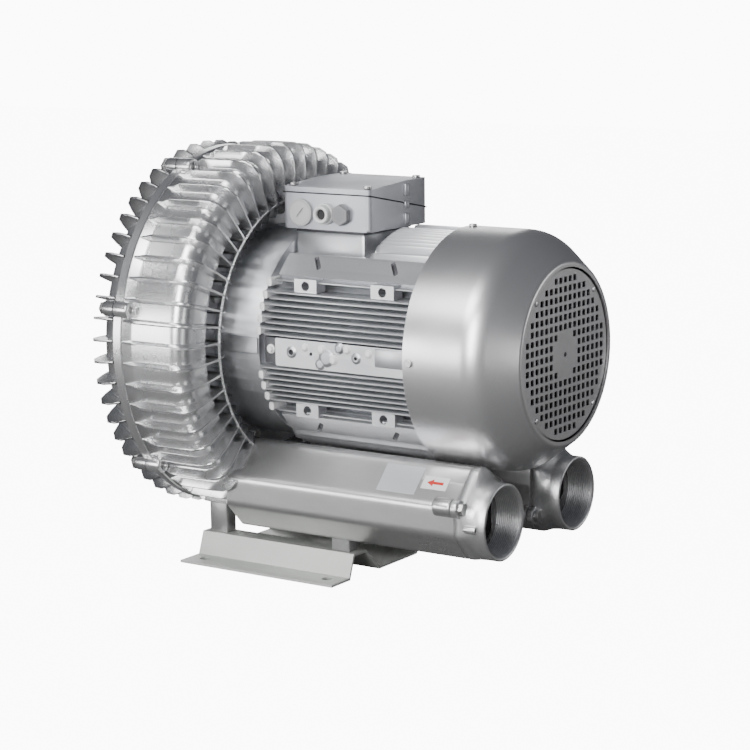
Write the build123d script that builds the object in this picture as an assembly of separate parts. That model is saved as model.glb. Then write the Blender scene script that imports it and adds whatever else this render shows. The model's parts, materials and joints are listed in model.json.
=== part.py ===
from build123d import *
from math import cos, hypot, radians, sin, sqrt
import os

# Side channel blower, in millimetres, +Z up. The origin is on the floor at the centre of the four
# foot bolt holes. The shaft lies along Y: the ring casing is at +Y, the motor's fan and the two
# ports are at -Y. A circle about the shaft line is given as a radius and a place along Y.

# Shaft line and ring casing
shaft_height = 255.0
joint_y = 125.0            # plane where the cover meets the housing
body_r = 201.0             # smooth drum between the fins
flange_proud = 5.5         # joint flange beyond the drum
flange_half = 5.5          # thickness of the joint flange on each side of the joint
fin_proud = 11.0           # fin tips beyond the drum
fin_count = 54
fin_thick = 3.4
first_fin_angle = 1.7
ring_wall = 7.0
face_fin_height = 12.5     # fins on the motor side face of the ring
rim_thick = 3.0            # lip that ties the inner ends of the face fins
ring_corner_r = 20.0
cover_fin_height = 4.0

# Side channel and impeller
recess_clear = 5.0         # between the bell flange and the recess it sits in
channel_depth = 34.0
cover_channel_depth = 31.0
impeller_width = 44.0
impeller_gap = 0.5         # running gap on every side of the impeller
blade_count = 36
blade_thick = 3.0
blade_pocket_depth = 19.0
impeller_web = 10.0
hub_r = 36.0
hub_length = 40.0
stripper_angle = 30.0      # stretch of channel closed between the two ports
floor_thick = 9.0          # wall between the channel and the motor side recess
centre_plate = 8.0
centre_cap_r = 42.0
centre_cap_height = 13.0
cap_wall = 6.0
rib_count = 8

# Joint bosses and their screws
boss_angles = (-132.0, -78.0, -25.0, 25.0, 78.0, 132.0, 180.0)
boss_r = 9.0
boss_beyond_flange = 1.5   # centre of a boss beyond the joint flange
boss_reach = 19.0
cover_boss_reach = 15.0

# Silencer legs and ports
port_spacing = 157.0
port_height = 85.0
leg_front_y = -254.0
leg_outer_x = 122.5
leg_inner_x = 36.0
leg_bottom_z = 43.5
leg_top_z = 141.0
leg_cowl_gap = 4.8         # least gap between a leg and the cowl
leg_top_width = 14.0
leg_side_z = 73.0          # lower end of the upright outer side
leg_side_height = 32.0
leg_bottom_outer_x = 94.0
leg_inner_top_z = 118.0
leg_inner_chamfer = 16.0
leg_wall = 5.0
port_thread_minor_r = 36.1
port_wall = 5.4
port_plate = 8.0
port_collar = 27.0
port_chamfer = 2.5
port_taper = 16.0
port_flare = 22.0
lug_r = 10.0
lug_length = 22.0
passage_r = 16.0
foam_r = 34.5
foam_wall = 9.0

# Base plate and feet
hole_spacing_x = 224.0
hole_spacing_y = 168.0
foot_hole_r = 6.0
base_width = 264.0
base_length = 208.0
base_sheet = 3.0
ridge_height = 28.0
ridge_outer_x = 88.0
ridge_inner_x = 66.0
flange_inner_x = 97.0
floor_strip_x = 38.0
foot_x = 77.0
foot_width = 18.0
foot_depth = 24.0
foot_embed = 8.7           # rear feet reach this far into the ring
foot_thread = 13.0

# Motor
frame_back_y = -2.0        # end of the frame next to the bell
frame_length = 196.0
frame_bore_r = 98.0
frame_wall = 8.0
fin_cowl_gap = 2.5         # fin tips stay this far inside the cowl circle
motor_fin_pitch = 6.3
motor_fin_thick = 2.6
motor_fin_step = 7.0       # every second fin starts this much later
rail_half = 12.0
pad_below_fins = 3.5       # slanted pads lie this far inside the fin circle
pad_width = 30.0
pad_slot_length = 9.0
pad_slot_width = 5.0
pad_slot_depth = 8.0
square_boss = 18.0
bell_r = 118.0
bell_disc_r = 136.0
bell_disc = 12.0
bell_screw_count = 8
bell_screw_depth = 6.0
bell_head_r = 6.5
spigot_r = 62.0
bearing_bore_r = 20.0
bearing_outer_r = 45.0
bearing_width = 23.0
bearing_gap = 0.3
bearing_wall = 9.0
shaft_r = 19.0
shoulder_r = 24.0
air_gap = 0.5
rotor_core_r = 62.0
core_length = 120.0
core_back_y = -30.0
winding_reach = 26.0
end_shield = 9.0
shield_rim = 16.0
shield_rim_wall = 8.0

# Fan and cowl
cowl_r = 130.0
cowl_sheet = 2.0
cowl_rim_y = -196.0
cowl_bend_y = -279.0
cowl_lip_r = 98.6
cowl_end_y = -319.5
cowl_bend = 14.0
cowl_lip = 3.0
grille_recess = 2.0
grille_r = 89.0
grille_pitch = 10.0
grille_hole = 6.5
grille_blank_r = 27.0
fan_r = 112.0
fan_hub_r = 30.0
fan_disc = 4.0
fan_back_y = -232.0
fan_depth = 42.0
fan_blades = 9

# Terminal box
box_side_x = 114.0
box_back_y = 6.0
box_length = 115.0
box_floor_z = 378.0
box_top_z = 429.0
box_split_high_z = 417.0   # split at the -X side
box_split_low_z = 395.0    # split at the +X side
box_wall = 4.0
post_r = 5.5               # posts for the lid screws
lid_edge_z = 424.0
lid_ridge_x = 14.0
neck_side_x = 96.0
neck_back_y = -3.5
neck_length = 92.0
gasket_thick = 1.5
block_length = 60.0
block_width = 24.0
block_height = 9.0
gland_z = 396.0
plug_y = -19.0             # large blanking plug
plug_r = 15.0
gland_y = -51.5
gland_r = 10.0
gland_reach = 12.0
gland_bore_r = 5.0
hex_plug_y = -73.0
hex_plug_r = 12.0
fitting_step = 2.0         # the thread in the wall is this much smaller than the fitting's head

# Small fits and screws
slip = 0.05                # radial clearance of located and running fits
screw_clear = 0.4
m5 = 2.5
m5_head_r = 4.4
m5_head = 2.6
m8 = 4.0
m8_head_r = 7.4            # across the corners
m8_head = 5.3
m12 = 6.0
m12_head_r = 10.9
m12_head = 7.5
washer_r = 30.0
washer_thick = 4.0
key_width = 10.0
key_length = 28.0
key_depth = 5.0            # into the shaft
key_height = 8.0
groove_depth = 1.5
groove_width = 2.0

# Places worked out from the sizes above
flange_r = body_r + flange_proud
boss_circle_r = flange_r + boss_beyond_flange
fin_tip_r = body_r + fin_proud
wheel_r = body_r - ring_wall - impeller_gap
recess_r = bell_disc_r + recess_clear
channel_outer_r = body_r - ring_wall
channel_inner_r = recess_r + ring_wall
channel_width = channel_outer_r - channel_inner_r
channel_mid_r = (channel_outer_r + channel_inner_r) / 2
wheel_back_y = joint_y - impeller_gap
wheel_front_y = wheel_back_y - impeller_width
land_y = wheel_front_y - impeller_gap
recess_y = land_y - floor_thick
ring_face_y = land_y - channel_depth - ring_wall
rim_y = ring_face_y - face_fin_height
rim_r = recess_r + ring_wall + rim_thick
cover_face_y = joint_y + cover_channel_depth + cap_wall
leg_end_y = ring_face_y - ring_wall
leg_top_inner_x = sqrt((cowl_r + leg_cowl_gap) ** 2 - (shaft_height - leg_top_z) ** 2)
rear_foot_height = shaft_height - sqrt(body_r ** 2 - foot_x ** 2) + foot_embed - ridge_height
port_x = port_spacing / 2
mouth_y = leg_front_y - port_plate - port_collar
collar_r = port_thread_minor_r + port_wall
frame_front_y = frame_back_y - frame_length
motor_fin_r = cowl_r - fin_cowl_gap
pad_plane = motor_fin_r - pad_below_fins
disc_y = recess_y - bell_disc
drive_bearing_y = disc_y - 15.0 - bearing_width
core_front_y = core_back_y - core_length
fan_bearing_y = frame_front_y - 2.0
seal_width = 8.0
seal_bore_r = shaft_r + 11.0
bell_screw_r = (bell_r + bell_disc_r) / 2
cowl_screw_y = frame_front_y - 6.0
fan_hub_length = fan_depth - 16.0
circlip_y = fan_back_y - fan_hub_length - groove_width
shaft_end_y = wheel_back_y - 4.5
hub_front_y = shaft_end_y + 2.0 - hub_length
grille_y = cowl_end_y + grille_recess
box_front_y = box_back_y - box_length
block_y = box_front_y + box_wall + 8.0 + block_width / 2


def disc(radius, y_from, y_to, hole=0.0):
    """Disc or ring about the shaft line between two places along Y, at floor height."""
    flat = Circle(radius)
    if hole > 0:
        flat -= Circle(hole)
    return extrude(cross_plane(y_to) * flat, amount=y_to - y_from)


def cross_plane(y):
    """Plane across the shaft at y: its x is X, its y is Z, and it faces the ports."""
    return Plane(origin=(0, y, 0), x_dir=(1, 0, 0), z_dir=(0, -1, 0))


def between(flat, y_from, y_to):
    """Extrude a flat shape of (x, z) from y_from to y_to."""
    return extrude(cross_plane(y_to) * flat, amount=y_to - y_from)


def turned(*points):
    """Turn a closed outline of (radius, y) points about the Y axis."""
    return revolve(Plane.XY * make_face(Polyline(*points, close=True)), Axis.Y, 360)


def lifted(shape):
    """Raise a shape made about the Y axis to the shaft line."""
    return Pos(0, 0, shaft_height) * shape


def spun(shape, angle):
    """Turn a shape about the Y axis, clockwise from the top as seen from the ports."""
    return Rot(0, angle, 0) * shape


def bend(mid_r, y, half_width, depth, start, stop, steps):
    """Points of (radius, y) on an ellipse between two angles in degrees."""
    angles = [radians(start + (stop - start) * i / steps) for i in range(steps + 1)]
    return [(mid_r + half_width * cos(a), y + depth * sin(a)) for a in angles]


def trough(mid_r, y, half_width, depth, steps=4):
    """Half ellipse of (radius, y) in straight steps that bulges from y by the depth, up or down."""
    return make_face(Polyline(*bend(mid_r, y, half_width, depth, 0, 180, steps), close=True))


def boss_places():
    """X and height above the shaft of the joint bosses, each between the two nearest fins."""
    pitch = 360 / fin_count
    first_gap = 90 + first_fin_angle + pitch / 2
    snapped = [first_gap + pitch * round((angle - first_gap) / pitch) for angle in boss_angles]
    return [on_circle(boss_circle_r, angle) for angle in snapped]


def on_circle(radius, angle):
    """X and height above the shaft of a point on a circle, by its angle from the top."""
    return radius * sin(radians(angle)), radius * cos(radians(angle))


def screw(radius, y_head, y_tip, head_r, head_length):
    """Hex head screw along Y: the head lies outside y_head, away from the tip."""
    way = 1 if y_head > y_tip else -1
    shank = between(Circle(radius), min(y_head, y_tip), max(y_head, y_tip))
    y_top = y_head + way * head_length
    head = between(RegularPolygon(head_r, 6), min(y_head, y_top), max(y_head, y_top))
    return shank + head


def housing_fin():
    """One fin of the housing: a pointed start by the flange, the drum, the corner and the face."""
    start_y = joint_y - flange_half - 2.0
    embed = 2.0
    corner = bend(fin_tip_r - ring_corner_r, rim_y + ring_corner_r, ring_corner_r, ring_corner_r, 0, -90, 3)
    edge = [(body_r - embed, start_y), (body_r, start_y), (fin_tip_r, start_y - 9.0)] + corner
    edge += [(rim_r - 1, rim_y), (rim_r - 1, ring_face_y + embed),
             (body_r - ring_corner_r - embed, ring_face_y + embed),
             (body_r - embed, ring_face_y + ring_corner_r + embed)]
    return extrude(Plane.XY * make_face(Polyline(*edge, close=True)), amount=fin_thick / 2, both=True)


def cover_fin():
    """One fin of the cover: from the flange over the domed back to the recess."""
    start_y = joint_y + flange_half
    top_y = cover_face_y + cover_fin_height
    shoulder_y = joint_y + 19.0
    inner_r = recess_r + 6.0
    back = bend(channel_mid_r + 12, shoulder_y, fin_tip_r - 15 - channel_mid_r, top_y - shoulder_y, 0, 90, 3)
    edge = [(body_r - 3, start_y), (fin_tip_r - 1, start_y)] + back
    edge += [(inner_r + 6, top_y), (inner_r, top_y - 12), (channel_mid_r, cover_face_y - 3)]
    return extrude(Plane.XY * make_face(Polyline(*edge, close=True)), amount=fin_thick / 2, both=True)


def fins(one_fin):
    """The fins all round the ring."""
    pitch = 360 / fin_count
    return [spun(one_fin, first_fin_angle + i * pitch) for i in range(fin_count)]


def leg_outline(inset=0.0):
    """Cross section of the -X silencer leg as (x, z), optionally drawn in by a wall."""
    points = [
        (-leg_outer_x, leg_side_z),
        (-leg_outer_x, leg_side_z + leg_side_height),
        (-leg_top_inner_x - leg_top_width, leg_top_z),
        (-leg_top_inner_x, leg_top_z),
        (-leg_inner_x, leg_inner_top_z),
        (-leg_inner_x, leg_bottom_z + leg_inner_chamfer),
        (-leg_inner_x - leg_inner_chamfer, leg_bottom_z),
        (-leg_bottom_outer_x, leg_bottom_z),
    ]
    flat = make_face(Polyline(*points, close=True))
    return offset(flat, amount=-inset, kind=Kind.INTERSECTION) if inset > 0 else flat


def both_sides(shape):
    """The shape and its mirror image across the shaft's upright plane."""
    return [shape, mirror(shape, Plane.YZ)]


def lug_places(side):
    """Screw lugs of one port: one outside above, one inside below."""
    return [(side * leg_outer_x, leg_side_z + leg_side_height), (side * leg_inner_x, leg_side_z - 8.0)]


def housing():
    """Ring casing, silencer legs and feet in one casting."""
    corner = ring_corner_r
    outside = bend(body_r - corner, ring_face_y + corner, corner, corner, -90, 0, 3)
    ring = turned(
        (spigot_r + slip, land_y), (spigot_r + slip, recess_y), (recess_r, recess_y),
        (recess_r, ring_face_y + 8), (rim_r - rim_thick, ring_face_y), (rim_r - rim_thick, rim_y),
        (rim_r, rim_y), (rim_r, ring_face_y), *outside, (body_r, joint_y - flange_half),
        (flange_r, joint_y - flange_half), (flange_r, joint_y), (channel_outer_r, joint_y),
        (channel_outer_r, land_y))
    ring += fins(housing_fin())
    boss = between(Circle(boss_r), joint_y - boss_reach, joint_y)
    ring += [Pos(x, 0, z) * boss for x, z in boss_places()]
    shape = lifted(ring)
    leg = between(leg_outline(), leg_front_y, ring_face_y + 3)
    foot = Pos(-foot_x, hole_spacing_y / 2, ridge_height) * Box(
        foot_width, foot_depth, rear_foot_height, align=(Align.CENTER, Align.CENTER, Align.MIN))
    front_foot = Pos(-foot_x, -hole_spacing_y / 2, ridge_height) * Box(
        foot_width, foot_depth, leg_bottom_z - ridge_height + 2,
        align=(Align.CENTER, Align.CENTER, Align.MIN))
    additions = both_sides(leg) + both_sides(foot) + both_sides(front_foot)
    for side in (-1, 1):
        for x, z in lug_places(side):
            additions.append(Pos(x, 0, z) * between(Circle(lug_r), leg_front_y, leg_front_y + lug_length))
    shape += additions
    channel = revolve(Plane.XY * trough(channel_mid_r, land_y, channel_width / 2, -channel_depth),
                      Axis.Y, 360 - stripper_angle)
    cuts = [lifted(spun(channel, 90 + stripper_angle / 2)), lifted(disc(channel_outer_r, land_y, joint_y))]
    cuts += both_sides(between(leg_outline(leg_wall), leg_front_y, leg_end_y))
    cuts += both_sides(between(Pos(-port_x + 3, port_height + 10) * Circle(passage_r),
                               leg_end_y - 1, land_y - channel_depth / 2))
    boss_hole = lifted(between(Circle(m8 + slip), joint_y - boss_reach, joint_y))
    cuts += [Pos(x, 0, z) * boss_hole for x, z in boss_places()]
    for side in (-1, 1):
        for x, z in lug_places(side):
            cuts.append(Pos(x, 0, z) * between(Circle(m8 + slip), leg_front_y, leg_front_y + lug_length))
        for y in (-hole_spacing_y / 2, hole_spacing_y / 2):
            hole = Pos(side * foot_x, y, ridge_height) * Cylinder(m8 + slip, foot_thread + 1, align=(
                Align.CENTER, Align.CENTER, Align.MIN))
            cuts.append(hole)
    tapped = between(Circle(m8 + slip), recess_y, recess_y + bell_screw_depth + 1)
    cuts += [Pos(x, 0, z) * tapped for x, z in bell_screw_places()]
    return shape - cuts


def housing_cover():
    """Cover with its own side channel, domed back, fins and a cap over the shaft end."""
    outer = trough(channel_mid_r, joint_y, body_r - channel_mid_r, cover_channel_depth + cap_wall, 6)
    ring = revolve(Plane.XY * outer, Axis.Y, 360)
    ring += disc(flange_r, joint_y, joint_y + flange_half)
    ring += disc(recess_r, joint_y, joint_y + centre_plate)
    ring += disc(centre_cap_r, joint_y + centre_plate, joint_y + centre_plate + centre_cap_height)
    ring += fins(cover_fin())
    rib = Pos(0, joint_y + centre_plate, 0) * Box(
        recess_r + 6, 7.0, fin_thick, align=(Align.MIN, Align.MIN, Align.CENTER))
    ring += [spun(rib, (i + 0.5) * 360 / rib_count) for i in range(rib_count)]
    boss = between(Circle(boss_r), joint_y, joint_y + cover_boss_reach)
    ring += [Pos(x, 0, z) * boss for x, z in boss_places()]
    channel = revolve(Plane.XY * trough(channel_mid_r, joint_y, channel_width / 2, cover_channel_depth),
                      Axis.Y, 360 - stripper_angle)
    cuts = [spun(channel, 90 + stripper_angle / 2)]
    cap_y = joint_y + centre_plate + centre_cap_height
    cuts.append(disc(centre_cap_r - cap_wall, joint_y, cap_y - cap_wall))
    boss_hole = between(Circle(m8 + screw_clear), joint_y, joint_y + boss_reach)
    cuts += [Pos(x, 0, z) * boss_hole for x, z in boss_places()]
    return lifted(ring - cuts)


def cover_screws():
    """One hex head screw in each joint boss, put in from the cover side."""
    one = lifted(screw(m8, joint_y + cover_boss_reach, joint_y - boss_reach + 3, m8_head_r, m8_head))
    return [Pos(x, 0, z) * one for x, z in boss_places()]


def port_flange(side):
    """Cast end of one silencer: a plate of the leg's outline that runs into a round threaded collar."""
    plate_y = leg_front_y - port_plate
    taper_y = plate_y - port_taper
    taper = between(leg_outline(), taper_y, plate_y)
    taper &= Pos(-port_x, 0, port_height) * turned((0, plate_y), (collar_r + port_flare, plate_y),
                                                  (collar_r, taper_y), (0, taper_y))
    plate = between(leg_outline(), plate_y, leg_front_y)
    collar = Pos(-port_x, 0, port_height) * disc(collar_r, mouth_y, leg_front_y)
    shape = plate + taper + collar
    lugs = lug_places(-1)
    shape += [Pos(x, 0, z) * between(Circle(lug_r), plate_y, leg_front_y) for x, z in lugs]
    mouth = port_thread_minor_r + port_chamfer
    bore = [(0, leg_front_y), (port_thread_minor_r, leg_front_y),
            (port_thread_minor_r, mouth_y + port_chamfer), (mouth, mouth_y), (0, mouth_y)]
    cuts = [Pos(-port_x, 0, port_height) * turned(*bore)]
    for x, z in lugs:
        cuts.append(Pos(x, 0, z) * between(Circle(m8 + screw_clear), plate_y, leg_front_y))
        cuts.append(Pos(x, 0, z) * between(Circle(lug_r - 1), mouth_y, plate_y))
    shape -= cuts
    return shape if side < 0 else mirror(shape, Plane.YZ)


def port_screws():
    """Two hex head screws through each port flange into the leg's lugs."""
    head_y = leg_front_y - port_plate
    one = screw(m8, head_y, leg_front_y + lug_length - 4, m8_head_r, m8_head)
    return [Pos(x, 0, z) * one for side in (-1, 1) for x, z in lug_places(side)]


def silencer_foam(side):
    """Perforated foam tube that lines one silencer leg from the port flange to the ring."""
    tube = disc(foam_r, leg_front_y, leg_end_y, foam_r - foam_wall)
    return Pos(side * port_x, 0, port_height) * tube


def base_plate():
    """Bent sheet: two flat flanges with the bolt holes, two ridges for the feet, a low middle strip."""
    mid = base_sheet / 2
    half = [(0, mid), (floor_strip_x, mid), (ridge_inner_x, ridge_height - mid),
            (ridge_outer_x, ridge_height - mid), (flange_inner_x, mid), (base_width / 2, mid)]
    path = Polyline(*[(-x, z) for x, z in reversed(half[1:])], *half[1:])
    flat = trace(path, base_sheet)
    sheet = between(flat, -base_length / 2, base_length / 2)
    for x in (-hole_spacing_x / 2, hole_spacing_x / 2):
        for y in (-hole_spacing_y / 2, hole_spacing_y / 2):
            sheet -= Pos(x, y, 0) * Cylinder(foot_hole_r, 3 * base_sheet)
    for x in (-foot_x, foot_x):
        for y in (-hole_spacing_y / 2, hole_spacing_y / 2):
            sheet -= Pos(x, y, ridge_height) * Cylinder(m8 + screw_clear, 3 * base_sheet)
    return sheet


def foot_screws():
    """Hex head screws from under the ridges up into the feet."""
    under = ridge_height - base_sheet
    one = Cylinder(m8, foot_thread + base_sheet, align=(Align.CENTER, Align.CENTER, Align.MIN))
    one += extrude(RegularPolygon(m8_head_r, 6), amount=-m8_head)
    return [Pos(x, y, under) * one for x in (-foot_x, foot_x)
            for y in (-hole_spacing_y / 2, hole_spacing_y / 2)]


def motor_bell():
    """Drive end shield: the smooth bell between ring and motor, with flange, spigot and bearing seat."""
    seat_r = bearing_outer_r + slip
    bearing_end_y = drive_bearing_y + bearing_width
    inner_r = frame_bore_r - 6
    hub = bearing_outer_r + bearing_wall
    shape = turned(
        (seal_bore_r, land_y - 1), (spigot_r, land_y - 1), (spigot_r, recess_y), (bell_disc_r, recess_y),
        (bell_disc_r, disc_y), (bell_r, disc_y), (bell_r, frame_back_y), (frame_bore_r - slip, frame_back_y),
        (frame_bore_r - slip, frame_back_y - 6), (inner_r, frame_back_y - 6), (inner_r, disc_y),
        (hub, disc_y), (hub, drive_bearing_y - 2), (seat_r, drive_bearing_y - 2), (seat_r, bearing_end_y),
        (bearing_outer_r - 8, bearing_end_y), (bearing_outer_r - 8, recess_y - 5),
        (seal_bore_r, recess_y - 5))
    shape = lifted(shape + [spun(pad_on_bell(), 90 * i) for i in range(4)])
    hole = between(Circle(m8 + screw_clear), disc_y, recess_y)
    return shape - [Pos(x, 0, z) * hole for x, z in bell_screw_places()]


def pad_on_bell():
    """Raised flat pad on the bell, first one level with the shaft."""
    return Pos(bell_r - 6, frame_back_y + 1, 0) * Box(8.0, disc_y - frame_back_y - 12, 17.0,
                                                     align=(Align.MIN, Align.MIN, Align.CENTER))


def bell_screw_places():
    """X and Z of the screws round the bell's flange, none of them at the very top."""
    step = 360 / bell_screw_count
    places = [on_circle(bell_screw_r, (i + 0.5) * step) for i in range(bell_screw_count)]
    return [(x, z + shaft_height) for x, z in places]


def bell_screws():
    """Ring of screws that hold the bell's flange to the housing."""
    one = screw(m8, disc_y, recess_y + bell_screw_depth, bell_head_r, m8_head)
    return [Pos(x, 0, z) * one for x, z in bell_screw_places()]


def shaft_seal():
    """Rubber seal between the bell and the shaft."""
    return lifted(disc(seal_bore_r - slip, recess_y - 4, recess_y - 4 + seal_width, shaft_r + slip))


def fin_rows():
    """Heights of the level fins from the middle rail to the slanted pads, less one for the bosses."""
    count = int((pad_plane * sqrt(2) - pad_width / sqrt(2)) / 2 / motor_fin_pitch)
    first = rail_half + motor_fin_pitch / 2
    rows = [first + i * motor_fin_pitch for i in range(count)]
    rows = [r for r in rows if r < motor_fin_r * sin(radians(35))]
    return rows[:-2] + rows[-1:]


def level_fin(height, side):
    """One level fin as a flat shape, from the frame's drum out to the fin circle."""
    tip = sqrt(motor_fin_r ** 2 - (abs(height) + motor_fin_thick / 2) ** 2)
    root = sqrt((frame_bore_r + 2) ** 2 - height ** 2)
    return Pos(side * (tip + root) / 2, height) * Rectangle(tip - root, motor_fin_thick)


def frame_outline(rows):
    """Cross section of the frame's drum with the fins at these heights on all four sides."""
    flat = Circle(frame_bore_r + frame_wall)
    for height in rows:
        for side in (-1, 1):
            for up in (-1, 1):
                fin = level_fin(up * height, side)
                flat += fin
                flat += Rot(0, 0, 90) * fin
    return flat


def square_bosses():
    """Flat shape of the square bosses that fill the gap beside each slanted pad."""
    height = fin_rows()[-1] - motor_fin_pitch
    reach = sqrt(motor_fin_r ** 2 - (height + motor_fin_pitch) ** 2)
    bar = Rectangle(2 * reach, 2 * motor_fin_pitch)
    return Pos(0, height) * bar + Pos(0, -height) * bar - Circle(frame_bore_r + 1)


def motor_frame():
    """Finned frame with plain rails at the sides, slanted pads at the corners and the box's neck."""
    rows = fin_rows()
    early = rows[1::2]
    full = frame_outline(rows) - Circle(frame_bore_r)
    shape = between(full, frame_front_y, frame_back_y - motor_fin_step)
    ends = frame_outline(early) - Circle(frame_bore_r)
    shape += between(ends, frame_back_y - motor_fin_step, frame_back_y)
    rail = Rectangle(motor_fin_r * 2 - 2, 2 * rail_half) - Circle(frame_bore_r + 1)
    shape += between(rail, frame_front_y, frame_back_y - 14)
    pad_in = frame_bore_r + 1
    pad = Pos((pad_plane + pad_in) / 2, 0) * Rectangle(pad_plane - pad_in, pad_width)
    pads = [Rot(0, 0, 45 + 90 * i) * pad for i in range(4)]
    shape += [between(p, frame_front_y + 6, frame_back_y - 14) for p in pads]
    shape = lifted(shape)
    under_box = Pos(0, box_front_y - 1, box_floor_z) * Box(
        box_side_x + 2, box_length + 2, 50.0, align=(Align.CENTER, Align.MIN, Align.MIN))
    shape -= under_box
    neck_top = box_floor_z - shaft_height
    neck = Pos(0, neck_top / 2) * Rectangle(neck_side_x, neck_top) - Circle(frame_bore_r)
    shape += lifted(between(neck, neck_back_y - neck_length, neck_back_y))
    window = Pos(0, box_floor_z) * Rectangle(neck_side_x - 4 * box_wall, 2 * (neck_top - frame_bore_r) + 10)
    shape -= between(window, neck_back_y - neck_length + 2 * box_wall, neck_back_y - 2 * box_wall)
    slot = Pos(pad_plane, 0, 0) * Box(2 * pad_slot_depth, pad_slot_width, pad_slot_length)
    for y in (frame_back_y - frame_length / 3, frame_back_y - 5 * frame_length / 6):
        shape += lifted(between(square_bosses(), y - square_boss / 2, y + square_boss / 2))
        shape -= [Pos(0, y, shaft_height) * spun(slot, 45 + 90 * i) for i in range(4)]
    return shape


def stator_core():
    """Laminated stator pressed into the frame."""
    return lifted(disc(frame_bore_r, core_front_y, core_back_y, rotor_core_r + air_gap))


def stator_winding():
    """Two end windings that stand out of the stator core."""
    inner = rotor_core_r + 8
    outer = frame_bore_r - 6
    back = disc(outer, core_back_y, core_back_y + winding_reach - 8, inner)
    front = disc(outer, core_front_y - winding_reach, core_front_y, inner)
    return [lifted(back), lifted(front)]


def rear_end_shield():
    """Fan end shield: plate on the frame's end, bearing hub inside, rim that carries the cowl."""
    hub = bearing_outer_r + bearing_wall
    seat_r = bearing_outer_r + slip
    rim_out = cowl_r - cowl_sheet - slip
    rim_in = rim_out - shield_rim_wall
    plate_y = frame_front_y - end_shield
    rim_y_front = frame_front_y - shield_rim
    shape = turned(
        (shoulder_r + 2, plate_y), (rim_in, plate_y), (rim_in, rim_y_front), (rim_out, rim_y_front),
        (rim_out, frame_front_y), (frame_bore_r - slip, frame_front_y),
        (frame_bore_r - slip, frame_front_y + 6), (frame_bore_r - 6, frame_front_y + 6),
        (frame_bore_r - 6, frame_front_y), (hub, frame_front_y),
        (hub, fan_bearing_y + bearing_width + 2), (seat_r, fan_bearing_y + bearing_width + 2),
        (seat_r, fan_bearing_y - 2), (shoulder_r + 2, fan_bearing_y - 2))
    for i in range(4):
        hole = Pos(cowl_r, cowl_screw_y, 0) * Rot(0, 90, 0) * Cylinder(m5 + slip, 30.0)
        shape -= spun(hole, 90 * i)
    return lifted(shape)


def bearing(y, ring):
    """Outer ring closed by its shields, or inner ring, of one ball bearing that starts at y."""
    inner_r = bearing_bore_r + 7.5
    if ring == "inner":
        return lifted(disc(inner_r, y, y + bearing_width, bearing_bore_r))
    return lifted(disc(bearing_outer_r, y, y + bearing_width, inner_r + bearing_gap))


def wave_spring():
    """Spring washer behind the fan end bearing."""
    return lifted(disc(bearing_outer_r - 1, fan_bearing_y - 2, fan_bearing_y, bearing_outer_r - 7))


def rotor_shaft():
    """Stepped shaft: impeller seat, bearing seats, core seat and the fan's seat."""
    r = bearing_bore_r
    fan_end_y = fan_back_y - fan_depth + 12
    points = [
        (0, shaft_end_y), (shaft_r, shaft_end_y),
        (shaft_r, drive_bearing_y + bearing_width), (r, drive_bearing_y + bearing_width),
        (r, drive_bearing_y), (shoulder_r, drive_bearing_y),
        (shoulder_r, fan_bearing_y + bearing_width), (r, fan_bearing_y + bearing_width),
        (r, fan_bearing_y), (shaft_r, fan_bearing_y),
        (shaft_r, fan_end_y), (0, fan_end_y),
    ]
    shaft = turned(*points) - key_block()
    shaft -= disc(m12 + slip, shaft_end_y - 26, shaft_end_y)
    shaft -= disc(shaft_r + 1, circlip_y, circlip_y + groove_width, shaft_r - groove_depth)
    return lifted(shaft)


def key_block():
    """Feather key between the shaft and the impeller's hub."""
    middle_y = hub_front_y + hub_length / 2
    return Pos(0, middle_y, shaft_r - key_depth) * Box(key_width, key_length, key_height, align=(
        Align.CENTER, Align.CENTER, Align.MIN))


def rotor_core():
    """Laminated rotor with its cast end rings."""
    return lifted(disc(rotor_core_r, core_front_y - 8, core_back_y + 8, shoulder_r))


def impeller():
    """Side channel impeller: hub, web and a rim with curved pockets and radial blades on both faces."""
    mid_y = (wheel_back_y + wheel_front_y) / 2
    shape = disc(wheel_r, wheel_front_y, wheel_back_y, shaft_r)
    relief = (wheel_back_y - wheel_front_y - impeller_web) / 2
    lip_r = channel_inner_r - 7.0
    for y_from, y_to in ((wheel_front_y, wheel_front_y + relief), (wheel_back_y - relief, wheel_back_y)):
        shape -= disc(lip_r, y_from, y_to, shaft_r)
    shape += disc(hub_r, hub_front_y, hub_front_y + hub_length, shaft_r)
    half = (channel_width - 8) / 2
    blades_inner = channel_mid_r - half
    for y, way in ((wheel_front_y, 1), (wheel_back_y, -1)):
        groove = revolve(Plane.XY * trough(channel_mid_r, y, half, way * blade_pocket_depth, 3), Axis.Y, 360)
        y_from = y if way > 0 else y - blade_pocket_depth
        blade = Pos(blades_inner - 2, y_from, 0) * Box(
            wheel_r - 1 - blades_inner, blade_pocket_depth, blade_thick,
            align=(Align.MIN, Align.MIN, Align.CENTER))
        groove -= [spun(blade, i * 360 / blade_count) for i in range(blade_count)]
        shape -= groove
    shape -= key_block()
    return lifted(shape)


def impeller_washer():
    """Thick washer on the shaft end that holds the impeller's hub."""
    y = hub_front_y + hub_length
    return lifted(disc(washer_r, y, y + washer_thick, m12 + screw_clear))


def impeller_bolt():
    """Hex bolt in the shaft end."""
    y = hub_front_y + hub_length + washer_thick
    return lifted(screw(m12, y, shaft_end_y - 24, m12_head_r, m12_head))


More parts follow.
